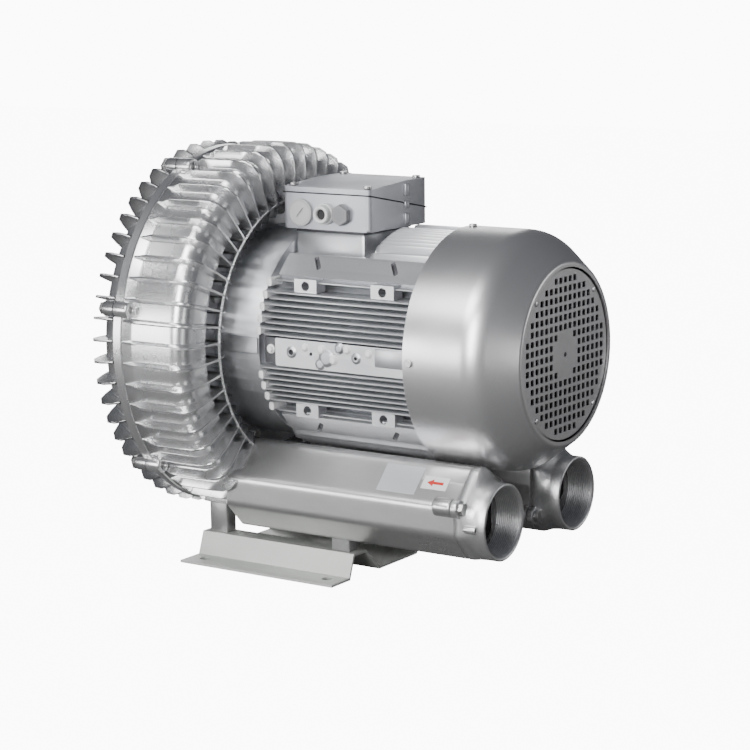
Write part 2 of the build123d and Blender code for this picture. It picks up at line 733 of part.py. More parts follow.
def cooling_fan():
    """Radial fan with straight blades on one side of its disc."""
    shape = disc(fan_r, fan_back_y - fan_disc, fan_back_y, shaft_r)
    shape += disc(fan_hub_r, fan_back_y - fan_hub_length, fan_back_y, shaft_r)
    blade = Pos(fan_hub_r - 2, fan_back_y - fan_depth, 0) * Box(
        fan_r - fan_hub_r, fan_depth, 3.0, align=(Align.MIN, Align.MIN, Align.CENTER))
    shape += [spun(blade, i * 360 / fan_blades) for i in range(fan_blades)]
    shape -= disc(shaft_r, fan_back_y - fan_depth, fan_back_y)
    return lifted(shape)


def fan_circlip():
    """Ring in the shaft groove in front of the fan's hub."""
    return lifted(disc(shaft_r + 4, circlip_y, circlip_y + groove_width, shaft_r - groove_depth))


def fan_cowl():
    """Sheet cowl: drum, soft bend, cone, lip and a recessed disc with the grille of square holes."""
    slope = (cowl_r - cowl_lip_r) / (cowl_bend_y - cowl_end_y)
    outer = [(cowl_r, cowl_rim_y), (cowl_r, cowl_bend_y + cowl_bend),
             (cowl_r - slope * cowl_bend / 3, cowl_bend_y),
             (cowl_r - slope * cowl_bend, cowl_bend_y - cowl_bend),
             (cowl_lip_r, cowl_end_y + cowl_lip), (cowl_lip_r - cowl_lip, cowl_end_y),
             (grille_r + 4, cowl_end_y)]
    inner = [(r - cowl_sheet, max(y, cowl_end_y + cowl_sheet)) for r, y in reversed(outer[:-1])]
    shell = turned(*outer, (grille_r + 4, cowl_end_y + cowl_sheet), *inner)
    shell += disc(grille_r + 5, cowl_end_y, cowl_end_y + grille_recess + cowl_sheet)
    shell -= disc(grille_r + 4, cowl_end_y - 1, grille_y)
    squares = []
    steps = int(grille_r // grille_pitch) + 1
    for i in range(-steps, steps + 1):
        for j in range(-steps, steps + 1):
            reach = hypot(i, j) * grille_pitch
            if grille_blank_r < reach < grille_r - grille_hole:
                squares.append(Pos(i * grille_pitch, j * grille_pitch) * Rectangle(grille_hole, grille_hole))
    shell -= between(Sketch() + squares, grille_y - 1, grille_y + cowl_sheet + 1)
    for i in range(4):
        hole = Pos(cowl_r, cowl_screw_y, 0) * Rot(0, 90, 0) * Cylinder(m5 + screw_clear, 12.0)
        shell -= spun(hole, 90 * i)
    return lifted(shell)


def cowl_screws():
    """Four screws through the cowl into the end shield."""
    one = Rot(0, 90, 0) * (Cylinder(m5, shield_rim_wall + cowl_sheet, align=(
        Align.CENTER, Align.CENTER, Align.MAX)) + Cylinder(m5_head_r, m5_head, align=(
            Align.CENTER, Align.CENTER, Align.MIN)))
    one = Pos(cowl_r, cowl_screw_y, 0) * one
    return [lifted(spun(one, 90 * i)) for i in range(4)]


def box_outline(z_side_low, z_side_high, z_bottom):
    """Cross section of the box under the slanted split, as (x, z)."""
    half = box_side_x / 2
    return make_face(Polyline((-half, z_bottom), (half, z_bottom), (half, z_side_low), (-half, z_side_high),
                              close=True))


def terminal_box_base():
    """Lower part of the terminal box with its floor, walls, screw lugs and gland holes."""
    half = box_side_x / 2
    shape = between(box_outline(box_split_low_z, box_split_high_z, box_floor_z), box_front_y, box_back_y)
    solid = shape
    inner = box_side_x - 2 * box_wall
    shape -= Pos(0, (box_front_y + box_back_y) / 2, box_floor_z + box_wall) * Box(
        inner, box_length - 2 * box_wall, box_top_z, align=(Align.CENTER, Align.CENTER, Align.MIN))
    post = Cylinder(post_r, box_top_z - box_floor_z, align=(Align.CENTER, Align.CENTER, Align.MIN))
    for x, y in lid_screw_places():
        shape += (Pos(x, y, box_floor_z) * post) & solid
        shape -= Pos(x, y, box_floor_z + 6) * Cylinder(m5 + slip, box_top_z, align=(
            Align.CENTER, Align.CENTER, Align.MIN))
    for y, radius in ((plug_y, plug_r), (gland_y, gland_r), (hex_plug_y, hex_plug_r)):
        thread_r = radius - fitting_step + slip
        shape -= Pos(-half, y, gland_z) * Rot(0, 90, 0) * Cylinder(thread_r, 3 * box_wall)
    window = Box(neck_side_x - 4 * box_wall, neck_length - 4 * box_wall, 4 * box_wall)
    return shape - Pos(0, neck_back_y - neck_length / 2, box_floor_z) * window


def lid_screw_places():
    """Four screws near the box's corners."""
    inset = box_wall + 4.5
    return [(x, y) for x in (-box_side_x / 2 + inset, box_side_x / 2 - inset)
            for y in (box_front_y + inset, box_back_y - inset)]


def terminal_box_gasket():
    """Flat gasket on the slanted rim of the box."""
    half = box_side_x / 2
    band = make_face(Polyline((-half, box_split_high_z), (half, box_split_low_z),
                              (half, box_split_low_z + gasket_thick),
                              (-half, box_split_high_z + gasket_thick), close=True))
    ring = between(band, box_front_y, box_back_y)
    return ring - Pos(0, (box_front_y + box_back_y) / 2, box_split_low_z) * Box(
        box_side_x - 2 * box_wall, box_length - 2 * box_wall, box_top_z)


def terminal_box_lid():
    """Wedge shaped lid: thin at -X and deep at +X, with a slanted and a level top."""
    half = box_side_x / 2
    low = box_split_low_z + gasket_thick
    high = box_split_high_z + gasket_thick
    outline = make_face(Polyline((-half, high), (half, low), (half, box_top_z), (lid_ridge_x, box_top_z),
                                 (-half, lid_edge_z), close=True))
    inner = make_face(Polyline((-half + box_wall, high - 6), (half - box_wall, low - 6),
                               (half - box_wall, box_top_z - box_wall), (lid_ridge_x, box_top_z - box_wall),
                               (-half + box_wall, lid_edge_z - box_wall + 0.3), close=True))
    shape = between(outline, box_front_y, box_back_y)
    solid = shape
    shape -= between(inner, box_front_y + box_wall, box_back_y - box_wall)
    post = Cylinder(post_r, box_top_z - box_floor_z, align=(Align.CENTER, Align.CENTER, Align.MIN))
    for x, y in lid_screw_places():
        shape += (Pos(x, y, box_floor_z) * post) & solid
        shape -= Pos(x, y, box_floor_z) * Cylinder(m5 + screw_clear, box_top_z, align=(
            Align.CENTER, Align.CENTER, Align.MIN))
    return shape


def lid_top_z(x):
    """Height of the lid's top at x."""
    if x > lid_ridge_x:
        return box_top_z
    share = (x + box_side_x / 2) / (lid_ridge_x + box_side_x / 2)
    return lid_edge_z + (box_top_z - lid_edge_z) * share


def lid_screws():
    """Four screws from the lid's top down into the box's posts."""
    screws = []
    for x, y in lid_screw_places():
        top = lid_top_z(x) + 0.3 * (1 if x < 0 else 0)
        one = Cylinder(m5, top - box_floor_z - 8, align=(Align.CENTER, Align.CENTER, Align.MAX))
        one += Cylinder(m5_head_r, m5_head, align=(Align.CENTER, Align.CENTER, Align.MIN))
        screws.append(Pos(x, y, top) * one)
    return screws


def terminal_block():
    """Moulded block across the box's floor that carries the six studs."""
    return Pos(0, block_y, box_floor_z + box_wall) * Box(block_length, block_width, block_height, align=(
        Align.CENTER, Align.CENTER, Align.MIN))


def terminal_studs():
    """Six brass studs on the block."""
    top = box_floor_z + box_wall + block_height
    one = Cylinder(m5, 8.0, align=(Align.CENTER, Align.CENTER, Align.MIN))
    row = block_width / 4
    return [Pos(i * block_length / 3, y, top) * one
            for i in (-1, 0, 1) for y in (block_y - row, block_y + row)]


def wall_plug(y, radius, length, bore, hexagon):
    """Round or hex fitting that screws into the -X wall of the box."""
    neck = Cylinder(radius - fitting_step, box_wall, align=(Align.CENTER, Align.CENTER, Align.MIN))
    head = Cylinder(radius, length, align=(Align.CENTER, Align.CENTER, Align.MAX))
    if hexagon:
        head = extrude(RegularPolygon(radius, 6), amount=-length)
    shape = neck + head
    if bore > 0:
        shape -= Cylinder(bore, 4 * length)
    return Pos(-box_side_x / 2, y, gland_z) * Rot(0, 90, 0) * shape


parts = {
    "base_plate": base_plate(),
    "blower_housing": housing(),
    "housing_cover": housing_cover(),
    "cover_screws": cover_screws(),
    "foot_screws": foot_screws(),
    "inlet_port_flange": port_flange(-1),
    "outlet_port_flange": port_flange(1),
    "port_flange_screws": port_screws(),
    "inlet_silencer_foam": silencer_foam(-1),
    "outlet_silencer_foam": silencer_foam(1),
    "drive_end_bell": motor_bell(),
    "bell_screws": bell_screws(),
    "shaft_seal": shaft_seal(),
    "motor_frame": motor_frame(),
    "stator_core": stator_core(),
    "stator_winding": stator_winding(),
    "rear_end_shield": rear_end_shield(),
    "drive_bearing_outer_ring": bearing(drive_bearing_y, "outer"),
    "drive_bearing_inner_ring": bearing(drive_bearing_y, "inner"),
    "fan_bearing_outer_ring": bearing(fan_bearing_y, "outer"),
    "fan_bearing_inner_ring": bearing(fan_bearing_y, "inner"),
    "wave_spring": wave_spring(),
    "rotor_shaft": rotor_shaft(),
    "rotor_core": rotor_core(),
    "impeller": impeller(),
    "impeller_key": lifted(key_block()),
    "impeller_washer": impeller_washer(),
    "impeller_bolt": impeller_bolt(),
    "cooling_fan": cooling_fan(),
    "fan_circlip": fan_circlip(),
    "fan_cowl": fan_cowl(),
    "cowl_screws": cowl_screws(),
    "terminal_box_base": terminal_box_base(),
    "terminal_box_gasket": terminal_box_gasket(),
    "terminal_box_lid": terminal_box_lid(),
    "lid_screws": lid_screws(),
    "terminal_block": terminal_block(),
    "terminal_studs": terminal_studs(),
    "blanking_plug": wall_plug(plug_y, plug_r, 4.0, 0, False),
    "cable_gland": wall_plug(gland_y, gland_r, gland_reach, gland_bore_r, False),
    "hex_plug": wall_plug(hex_plug_y, hex_plug_r, 7.0, 0, True),
}

os.makedirs("parts", exist_ok=True)
for name, shape in parts.items():
    solids = shape if isinstance(shape, list) else shape.solids()
    whole = Compound(children=[s for piece in solids for s in piece.solids()])
    export_step(whole, f"parts/{name}.step")
    print(name, len(whole.solids()))
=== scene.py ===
# %% [markdown]
# A side channel blower, dressed for its portrait.
# The blower's solids arrive as a finished frame: every casting, sheet and screw already has its
# place and size in metres. This file gives them their surfaces. It rounds the edges that a foundry
# or a press leaves round, rebuilds the finned castings with drafted fins and soft corners, and
# mixes one paint or metal for each kind of part.

# %% Load the frame
import bmesh
import bpy
import json
import math
from math import cos, hypot, pi, radians, sin, sqrt
from mathutils import Matrix, Vector


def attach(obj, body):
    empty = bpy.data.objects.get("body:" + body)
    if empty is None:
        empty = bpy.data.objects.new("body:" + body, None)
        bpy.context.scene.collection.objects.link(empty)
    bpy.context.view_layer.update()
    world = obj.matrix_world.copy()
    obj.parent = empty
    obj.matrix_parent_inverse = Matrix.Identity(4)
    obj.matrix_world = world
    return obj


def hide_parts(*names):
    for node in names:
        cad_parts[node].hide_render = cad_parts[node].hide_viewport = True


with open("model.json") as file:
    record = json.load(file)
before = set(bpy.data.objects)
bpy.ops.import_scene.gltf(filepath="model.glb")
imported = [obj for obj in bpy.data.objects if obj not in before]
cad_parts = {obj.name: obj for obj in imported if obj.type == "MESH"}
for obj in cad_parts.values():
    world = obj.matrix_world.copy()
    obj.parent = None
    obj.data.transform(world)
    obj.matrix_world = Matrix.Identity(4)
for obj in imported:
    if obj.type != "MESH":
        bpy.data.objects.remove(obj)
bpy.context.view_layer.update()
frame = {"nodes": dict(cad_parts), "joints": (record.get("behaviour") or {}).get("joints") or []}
MM = 0.001
shaft_z = frame["joints"][0]["pos_m"][2]
shaft_mm = shaft_z / MM
print("nodes:", len(frame["nodes"]), "shaft height:", shaft_z)

# %% [markdown]
# Silver paint on a casting is never one even grey. The metal flake changes slowly across the part,
# the skin of the casting shows through as a fine grain, and edges that get touched wear brighter.
# One shared node group gives these three things, and each paint sets its own amounts. The group
# only puts out a colour, a roughness and a height, so the shader itself stays in each material.


# %% Node helpers
def link_nodes(tree, start, end):
    """Join one output socket to one input socket."""
    tree.links.new(start, end)


def multiplied(tree, first, second):
    """The product of two values."""
    node = tree.nodes.new("ShaderNodeMath")
    node.operation = "MULTIPLY"
    link_nodes(tree, first, node.inputs[0])
    link_nodes(tree, second, node.inputs[1])
    return node.outputs[0]


def ramp(tree, value, low, high):
    """A mask that runs from 0 where the value is low to 1 where it is high."""
    node = tree.nodes.new("ShaderNodeMapRange")
    node.inputs["From Min"].default_value = low
    node.inputs["From Max"].default_value = high
    link_nodes(tree, value, node.inputs["Value"])
    return node.outputs["Result"]


def noise(tree, detail, place):
    """A noise texture that is fixed to the piece."""
    node = tree.nodes.new("ShaderNodeTexNoise")
    node.inputs["Detail"].default_value = detail
    link_nodes(tree, place, node.inputs["Vector"])
    return node


def colour_mix(tree, share, first, kind="MIX"):
    """A colour that goes from the first to whatever its input B holds."""
    node = tree.nodes.new("ShaderNodeMix")
    node.data_type = "RGBA"
    node.blend_type = kind
    link_nodes(tree, share, node.inputs["Factor"])
    link_nodes(tree, first, node.inputs["A"])
    return node


print("node helpers ready")

# %% [markdown]
# The group takes what differs from paint to paint as its inputs. Slow clouds of noise darken the
# colour a little and change the roughness, fine grain becomes the height of a bump, and Pointiness
# tells ridges from hollows: ridges wear bright, and hollows darken, partly as dust and partly as
# painted shade.


# %% The shared surface group
def build_skin_group():
    """Colour, roughness and height of a painted or bare metal skin."""
    group = bpy.data.node_groups.new("metal_skin", "ShaderNodeTree")
    inputs = {"Colour": "Color", "Worn Colour": "Color", "Roughness": "Float", "Grain Size": "Float",
              "Grain": "Float", "Mottle": "Float", "Wear": "Float", "Dust And Shade": "Float"}
    outputs = {"Colour": "Color", "Roughness": "Float", "Height": "Float"}
    for side, sockets in (("INPUT", inputs), ("OUTPUT", outputs)):
        for name, kind in sockets.items():
            group.interface.new_socket(name=name, in_out=side, socket_type="NodeSocket" + kind)
    given = group.nodes.new("NodeGroupInput").outputs
    result = group.nodes.new("NodeGroupOutput").inputs
    place = group.nodes.new("ShaderNodeTexCoord").outputs["Object"]
    edge = group.nodes.new("ShaderNodeNewGeometry").outputs["Pointiness"]

    grain = noise(group, 6.0, place)
    grain.inputs["Roughness"].default_value = 0.62
    link_nodes(group, given["Grain Size"], grain.inputs["Scale"])
    cloud = noise(group, 5.0, place)
    cloud.inputs["Scale"].default_value = 14.0

    mottle = multiplied(group, ramp(group, cloud.outputs["Fac"], 0.3, 0.7), given["Mottle"])
    darker = colour_mix(group, mottle, given["Colour"], "MULTIPLY")
    darker.inputs["B"].default_value = (0.62, 0.63, 0.66, 1.0)
    broken = multiplied(group, ramp(group, edge, 0.51, 0.60), grain.outputs["Fac"])
    worn = colour_mix(group, multiplied(group, broken, given["Wear"]), darker.outputs["Result"])
    link_nodes(group, given["Worn Colour"], worn.inputs["B"])
    # Hollows darken here: partly dust, partly painted shade for the occlusion in them.
    hollow_dust_and_shade = multiplied(group, ramp(group, edge, 0.50, 0.42), given["Dust And Shade"])
    dust_and_shade_colour = colour_mix(group, hollow_dust_and_shade, worn.outputs["Result"])
    dust_and_shade_colour.inputs["B"].default_value = (0.16, 0.16, 0.17, 1.0)
    link_nodes(group, dust_and_shade_colour.outputs["Result"], result["Colour"])

    uneven = group.nodes.new("ShaderNodeMath")
    uneven.operation = "MULTIPLY_ADD"
    uneven.inputs[1].default_value = 0.16
    link_nodes(group, cloud.outputs["Fac"], uneven.inputs[0])
    link_nodes(group, given["Roughness"], uneven.inputs[2])
    link_nodes(group, uneven.outputs[0], result["Roughness"])
    link_nodes(group, multiplied(group, grain.outputs["Fac"], given["Grain"]), result["Height"])
    return group


skin_group = build_skin_group()
print("skin group nodes:", len(skin_group.nodes))

# %% [markdown]
# Each finish is one Principled shader that the group feeds. The clouds add up to 0.16 to the
# roughness, so the value that goes in is a little lower than the roughness that is wanted.


# %% A function that mixes one finish
def metal_finish(name, colour, roughness, metallic, grain_size=900.0, grain=0.35, mottle=0.35,
                 wear=0.6, dust_and_shade=0.5, worn=(0.86, 0.86, 0.87), coat=0.0, bump=0.0004):
    """A painted or bare metal, from the shared skin group and one shader."""
    material = bpy.data.materials.new(name)
    material.use_nodes = True
    tree = material.node_tree
    shader = tree.nodes["Principled BSDF"]
    skin = tree.nodes.new("ShaderNodeGroup")
    skin.node_tree = skin_group
    skin.inputs["Colour"].default_value = (*colour, 1.0)
    skin.inputs["Worn Colour"].default_value = (*worn, 1.0)
    amounts = {"Roughness": roughness - 0.08, "Grain Size": grain_size, "Grain": grain, "Mottle": mottle,
               "Wear": wear, "Dust And Shade": dust_and_shade}
    for socket, amount in amounts.items():
        skin.inputs[socket].default_value = amount
    shader.inputs["Metallic"].default_value = metallic
    shader.inputs["Coat Weight"].default_value = coat
    shader.inputs["Coat Roughness"].default_value = 0.18
    relief = tree.nodes.new("ShaderNodeBump")
    relief.inputs["Distance"].default_value = bump
    relief.inputs["Strength"].default_value = 0.6
    link_nodes(tree, skin.outputs["Colour"], shader.inputs["Base Color"])
    link_nodes(tree, skin.outputs["Roughness"], shader.inputs["Roughness"])
    link_nodes(tree, skin.outputs["Height"], relief.inputs["Height"])
    link_nodes(tree, relief.outputs["Normal"], shader.inputs["Normal"])
    return material


print("finish mixer ready")

# %% [markdown]
# The silver paint is the same everywhere, yet it lies differently: glossy on the ring, satin on
# the legs and motor, smooth on the pressed cowl. The base is painted a greener grey. Metallic is
# just below 1 for the silver paints, so that they keep some of a paint's own colour in the shade.

# %% The finishes
# The ring's hollows darken strongly: painted shade between its fins, with some dust.
ring_paint = metal_finish("ring_paint", (0.86, 0.86, 0.865), 0.26, 0.93, coat=0.4, mottle=0.25, dust_and_shade=0.9)
leg_paint = metal_finish("leg_paint", (0.66, 0.655, 0.65), 0.30, 0.92, coat=0.2)
motor_paint = metal_finish("motor_paint", (0.56, 0.57, 0.59), 0.36, 0.85, wear=0.7)
box_paint = metal_finish("box_paint", (0.49, 0.50, 0.54), 0.40, 0.70, wear=0.8, grain=0.6)
# White and matt: bare metal where paint is rubbed off, and a painted highlight on fin webs, rail lumps and a
# screw.
bare_and_highlight_white = metal_finish("bare_ends_and_painted_highlights", (0.97, 0.97, 0.96), 0.30, 0.0, wear=0.3, dust_and_shade=0.0, mottle=0.0,
                        coat=0.5)
cowl_paint = metal_finish("cowl_paint", (0.76, 0.755, 0.765), 0.33, 0.88, grain_size=1800.0, grain=0.12,
                          mottle=0.15, wear=0.1, dust_and_shade=0.1, coat=0.25)
base_paint = metal_finish("base_paint", (0.58, 0.60, 0.565), 0.42, 0.50, grain_size=1200.0, grain=0.2,
                          mottle=0.25, wear=0.5)
# Dark paint for the front feet: painted shade, as they stand in deep shadow.
front_foot_painted_shade = metal_finish("front_foot_painted_shade", (0.20, 0.20, 0.20), 0.5, 0.5, dust_and_shade=0.9)
bare_casting = metal_finish("bare_casting", (0.76, 0.76, 0.76), 0.34, 0.92, grain_size=500.0, grain=0.9,
                            mottle=0.5, wear=0.8, dust_and_shade=0.8)
zinc = metal_finish("zinc_plating", (0.70, 0.70, 0.68), 0.28, 1.0, grain_size=2500.0, grain=0.2)
ground_steel = metal_finish("ground_steel", (0.55, 0.55, 0.56), 0.22, 1.0, grain_size=3000.0, grain=0.1)
# Dark steel for the real stator and rotor cores; the same finish is painted shade in the frame's slots,
# recess and box gap.
core_steel = metal_finish("core_steel", (0.10, 0.10, 0.11), 0.5, 0.8, wear=0.2)
copper = metal_finish("varnished_copper", (0.45, 0.16, 0.06), 0.35, 0.8, grain_size=400.0, grain=0.9,
                      coat=0.4)
brass = metal_finish("brass", (0.62, 0.44, 0.18), 0.3, 1.0)
black_plastic = metal_finish("black_plastic", (0.02, 0.02, 0.022), 0.5, 0.0, worn=(0.08, 0.08, 0.08))
grey_plastic = metal_finish("grey_plastic", (0.50, 0.50, 0.50), 0.40, 0.1, worn=(0.7, 0.7, 0.7))
dark_plastic = metal_finish("dark_grey_plastic", (0.22, 0.22, 0.23), 0.38, 0.1, worn=(0.4, 0.4, 0.4))
light_plastic = metal_finish("light_plastic", (0.78, 0.78, 0.77), 0.40, 0.1, worn=(0.9, 0.9, 0.9))
brown_plastic = metal_finish("brown_plastic", (0.06, 0.03, 0.02), 0.45, 0.0, worn=(0.15, 0.1, 0.08))
# Black rubber for the seal and gasket; the same finish is painted shade in the gland's bore and under the
# bolt holes.
rubber_and_painted_shade = metal_finish("black_rubber_and_painted_shade", (0.015, 0.015, 0.016), 0.7, 0.0, worn=(0.05, 0.05, 0.05))
foam = metal_finish("silencer_lining", (0.03, 0.03, 0.03), 0.9, 0.0, grain_size=350.0, grain=1.0,
                    worn=(0.06, 0.06, 0.06), bump=0.002)
label_silver = metal_finish("label_foil", (0.72, 0.74, 0.78), 0.30, 0.5, grain=0.05, mottle=0.1, wear=0.1)
label_white = metal_finish("label_white", (0.85, 0.85, 0.85), 0.45, 0.0, grain=0.05, mottle=0.05, wear=0.0)
arrow_red = metal_finish("arrow_red", (0.62, 0.03, 0.02), 0.45, 0.0, grain=0.05, mottle=0.1, wear=0.0)
print("finishes mixed:", len(bpy.data.materials))

# %% [markdown]
# Most of the blower is turned about its shaft or drawn along it. Corners of an outline get their
# radius before it is used, which is how a drawing would state them. A spin of the outline then
# makes the turned part, and its start and end are merged so that no seam stays open.


# %% Outlines and turned shapes
def at(x, y, z):
    """A place given in millimetres."""
    return Vector((x, y, z)) * MM


def rounded(points, radius, steps=5, closed=True):
    """The same outline with an arc at every corner, smaller where a side is short."""
    result = []
    count = len(points)
    for i, point in enumerate(points):
        if not closed and i in (0, count - 1):
            result.append(tuple(point))
            continue
        here = Vector(point)
        before = Vector(points[i - 1]) - here
        after = Vector(points[(i + 1) % count]) - here
        half = before.angle(after) / 2
        reach = min(radius / max(math.tan(half), 0.05), before.length * 0.48, after.length * 0.48)
        start, stop = here + before.normalized() * reach, here + after.normalized() * reach
        for k in range(steps + 1):
            t = k / steps
            bent = start * (1 - t) ** 2 + here * 2 * t * (1 - t) + stop * t ** 2
            result.append(tuple(bent))
    return result


def circle(radius, steps):
    """Loop of points on a circle."""
    return [(radius * cos(2 * pi * i / steps), radius * sin(2 * pi * i / steps)) for i in range(steps)]


def turn(bm, outline, steps, x=0.0, z=shaft_mm, closed=True):
    """Turn an outline of (radius, y) a full circle about a line along Y."""
    verts = [bm.verts.new(at(x + radius, y, z)) for radius, y in outline]
    edges = [bm.edges.new(pair) for pair in zip(verts, verts[1:])]
    if closed:
        edges.append(bm.edges.new((verts[-1], verts[0])))
    bmesh.ops.spin(bm, geom=verts + edges, cent=at(x, 0, z), axis=(0, 1, 0), angle=2 * pi, steps=steps,
                   use_merge=True, use_duplicate=False)


def turn_on_x(bm, outline, steps, y, z):
    """Turn an outline of (radius, x) about a line along X."""
    verts = [bm.verts.new(at(x, y + radius, z)) for radius, x in outline]
    edges = [bm.edges.new(pair) for pair in zip(verts, verts[1:])]
    bmesh.ops.spin(bm, geom=verts + edges, cent=at(0, y, z), axis=(1, 0, 0), angle=2 * pi, steps=steps,
                   use_merge=True, use_duplicate=False)


print("outline tools ready")

# %% [markdown]
# Three more builders make what a lathe can't. One extrudes the edges of a section again and again
# and moves each new row to its place, which makes a fin or a leg. One fills a flat outline, leaves
# its holes open and gives the sheet its thickness. One makes a block with small bevels.


# %% Extruded shapes, pierced sheets and blocks
def loft(bm, rows, wrap=True, ends=(0, -1), finish=0):
    """Extrude the edges of a row of points from place to place; ends says which rows are filled."""
    row = [bm.verts.new(point) for point in rows[0]]
    first = [bm.edges.new(pair) for pair in zip(row, row[1:] + row[:1] if wrap else row[1:])]
    made, edges = [row], first
    for points in rows[1:]:
        grown = set(bmesh.ops.extrude_edge_only(bm, edges=edges)["geom"])
        row = [next(edge.other_vert(vert) for edge in vert.link_edges if edge.other_vert(vert) in grown)
               for vert in row]
        for vert, point in zip(row, points):
            vert.co = point
        edges = [item for item in grown
                 if isinstance(item, bmesh.types.BMEdge) and set(row).issuperset(item.verts)]
        for face in {face for edge in edges for face in edge.link_faces}:
            face.material_index = finish
        made.append(row)
    for end in ends:
        bmesh.ops.edgeloop_fill(bm, edges=(first, edges)[end], mat_nr=finish)
    return made


def pierced(bm, outline, holes, place, depth):
    """Fill an outline and leave the holes open, then give the sheet its thickness."""
    edges = []
    for loop in [outline, *holes]:
        verts = [bm.verts.new(place(a, b)) for a, b in loop]
        edges += [bm.edges.new((verts[i - 1], verts[i])) for i in range(len(verts))]
    filled = bmesh.ops.triangle_fill(bm, edges=edges, use_beauty=True, use_dissolve=False)
    faces = [item for item in filled["geom"] if isinstance(item, bmesh.types.BMFace)]
    grown = bmesh.ops.extrude_face_region(bm, geom=faces)
    moved = [item for item in grown["geom"] if isinstance(item, bmesh.types.BMVert)]
    bmesh.ops.translate(bm, vec=depth, verts=moved)


def block(bm, low, high, soften=0.8):
    """Box between two corners in millimetres with small bevels."""
    made = bmesh.ops.create_cube(bm, size=1.0)["verts"]
    for vert in made:
        for axis in range(3):
            vert.co[axis] = (high[axis] if vert.co[axis] > 0 else low[axis]) * MM
    edges = list({edge for vert in made for edge in vert.link_edges})
    bmesh.ops.bevel(bm, geom=edges, offset=soften * MM, segments=2, profile=0.5, affect="EDGES",
                    material=-1)


def paint_new(bm, known, finish):
    """Give the faces made since the known ones their finish, by its number on the piece."""
    for face in set(bm.faces) - known:
        face.material_index = finish


def place_new(bm, before, matrix):
    """Move the points made since the ones before."""
    bmesh.ops.transform(bm, matrix=matrix, verts=[vert for vert in bm.verts if vert not in before])


print("solid builders ready")

# %% [markdown]
# A piece is finished in the same way each time. Its seams are welded and its faces turned outward,
# it becomes an object at the origin, edges sharper than an angle stay sharp, and it rides on the
# casing. Where it stands for a solid of the frame, that solid is hidden.


# %% Closing and placing a piece
def close_up(bm):
    """Weld loose seams and turn all faces outward."""
    bmesh.ops.remove_doubles(bm, verts=bm.verts, dist=2e-6)
    bmesh.ops.recalc_face_normals(bm, faces=bm.faces)


def place_mesh(name, bm, material, body="casing", stands_for=(), sharp=40.0):
    """Turn a bmesh into a piece that rides on a body and may stand for some nodes."""
    mesh = bpy.data.meshes.new(name)
    bm.normal_update()
    bm.to_mesh(mesh)
    bm.free()
    piece = bpy.data.objects.new(name, mesh)
    bpy.context.scene.collection.objects.link(piece)
    for one in (material if isinstance(material, (list, tuple)) else [material]):
        mesh.materials.append(one)
    mesh.shade_smooth()
    mesh.set_sharp_from_angle(angle=radians(sharp))
    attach(piece, body)
    if stands_for:
        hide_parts(*stands_for)
    return piece


print("pieces can be placed")

# %% [markdown]
# The ring is the heart of this blower: two castings that enclose a ring shaped channel. Its sizes
# come first, in millimetres, as radii about the shaft and places along it. The plane of the joint
# is read from the frame, so that the dressed ring meets its solid.

# %% Sizes of the ring
joint_y = max(vert.co.y for vert in frame["nodes"]["blower_housing"].data.vertices) / MM
body_r = 201.0
flange_r = 206.5
corner_r = 20.0
ring_face_y = joint_y - 86.0
land_y = joint_y - 45.0
recess_y = land_y - 9.0
recess_r = 141.0
rim_r = 151.0
edge_r = 159.0
bell_hole_r = 62.05
fin_count = 54
first_fin = radians(1.7)
channel_r = 171.0
channel_half = 23.0
dome_half, dome_depth = 30.0, 37.0
boss_circle_r = 208.0
boss_r = 9.0
print("joint at y =", round(joint_y, 1), "face at y =", round(ring_face_y, 1))

# %% [markdown]
# The fins are drafted, which means thicker at the root than at the tip, and they flow into the
# casting with a fillet. One fin is a row of cross sections along its path over the drum, the soft
# corner and the flat face. It is then copied all round by a spin that duplicates.


# %% Fins and bosses of the ring
def fin_section(radius, y, out_r, out_y, height, root, tip):
    """One cross section of a fin: fillet at the casting, draft to the tip, nearly flat tip."""
    low, mid = min(0.5, 0.2 * height), min(1.6, 0.5 * height)
    top = max(height - 0.4, 0.85 * height)
    half = [(root + 1.6, -0.8), (root + 0.6, low), (root, mid), (tip, top), (tip - 0.4, height)]
    whole = [(-u, h) for u, h in half] + [(u, h) for u, h in reversed(half)]
    return [at(radius + out_r * h, y + out_y * h, u) + Vector((0, 0, shaft_z)) for u, h in whole]


def fins_all_round(bm, path, root=2.0, tip=1.2):
    """Draw one fin along its path and copy it round the shaft."""
    made = loft(bm, [fin_section(*station, root, tip) for station in path], wrap=False, ends=())
    verts = [vert for row in made for vert in row]
    faces = list({face for vert in verts for face in vert.link_faces})
    bmesh.ops.reverse_faces(bm, faces=faces)
    bmesh.ops.rotate(bm, verts=verts, cent=(0, 0, shaft_z), matrix=Matrix.Rotation(first_fin, 3, "Y"))
    edges = list({edge for vert in verts for edge in vert.link_edges})
    bmesh.ops.spin(bm, geom=verts + edges + faces, cent=(0, 0, shaft_z), axis=(0, 1, 0),
                   angle=2 * pi * (fin_count - 1) / fin_count, steps=fin_count - 1, use_duplicate=True)


def bent(mid_r, y, half_width, depth, angles):
    """Points and outward directions on an ellipse at angles in degrees."""
    for angle in angles:
        a = radians(angle)
        out = Vector((cos(a) / half_width, sin(a) / depth)).normalized()
        yield mid_r + half_width * cos(a), y + depth * sin(a), out.x, out.y


def boss_places():
    """X and Z of the joint screws: each in the gap between two fins nearest to its ideal angle."""
    pitch = 360 / fin_count
    gap = 90 + math.degrees(first_fin) + pitch / 2
    for ideal in (-132, -78, -25, 25, 78, 132, 180):
        angle = radians(gap + pitch * round((ideal - gap) / pitch))
        yield boss_circle_r * sin(angle), shaft_mm + boss_circle_r * cos(angle)


print("bosses:", len(list(boss_places())))

# %% [markdown]
# Behind, a cover closes the channel. It is domed, its fins fade out towards the middle, and eight
# low ribs run from the cap over the bearing place to the dome.


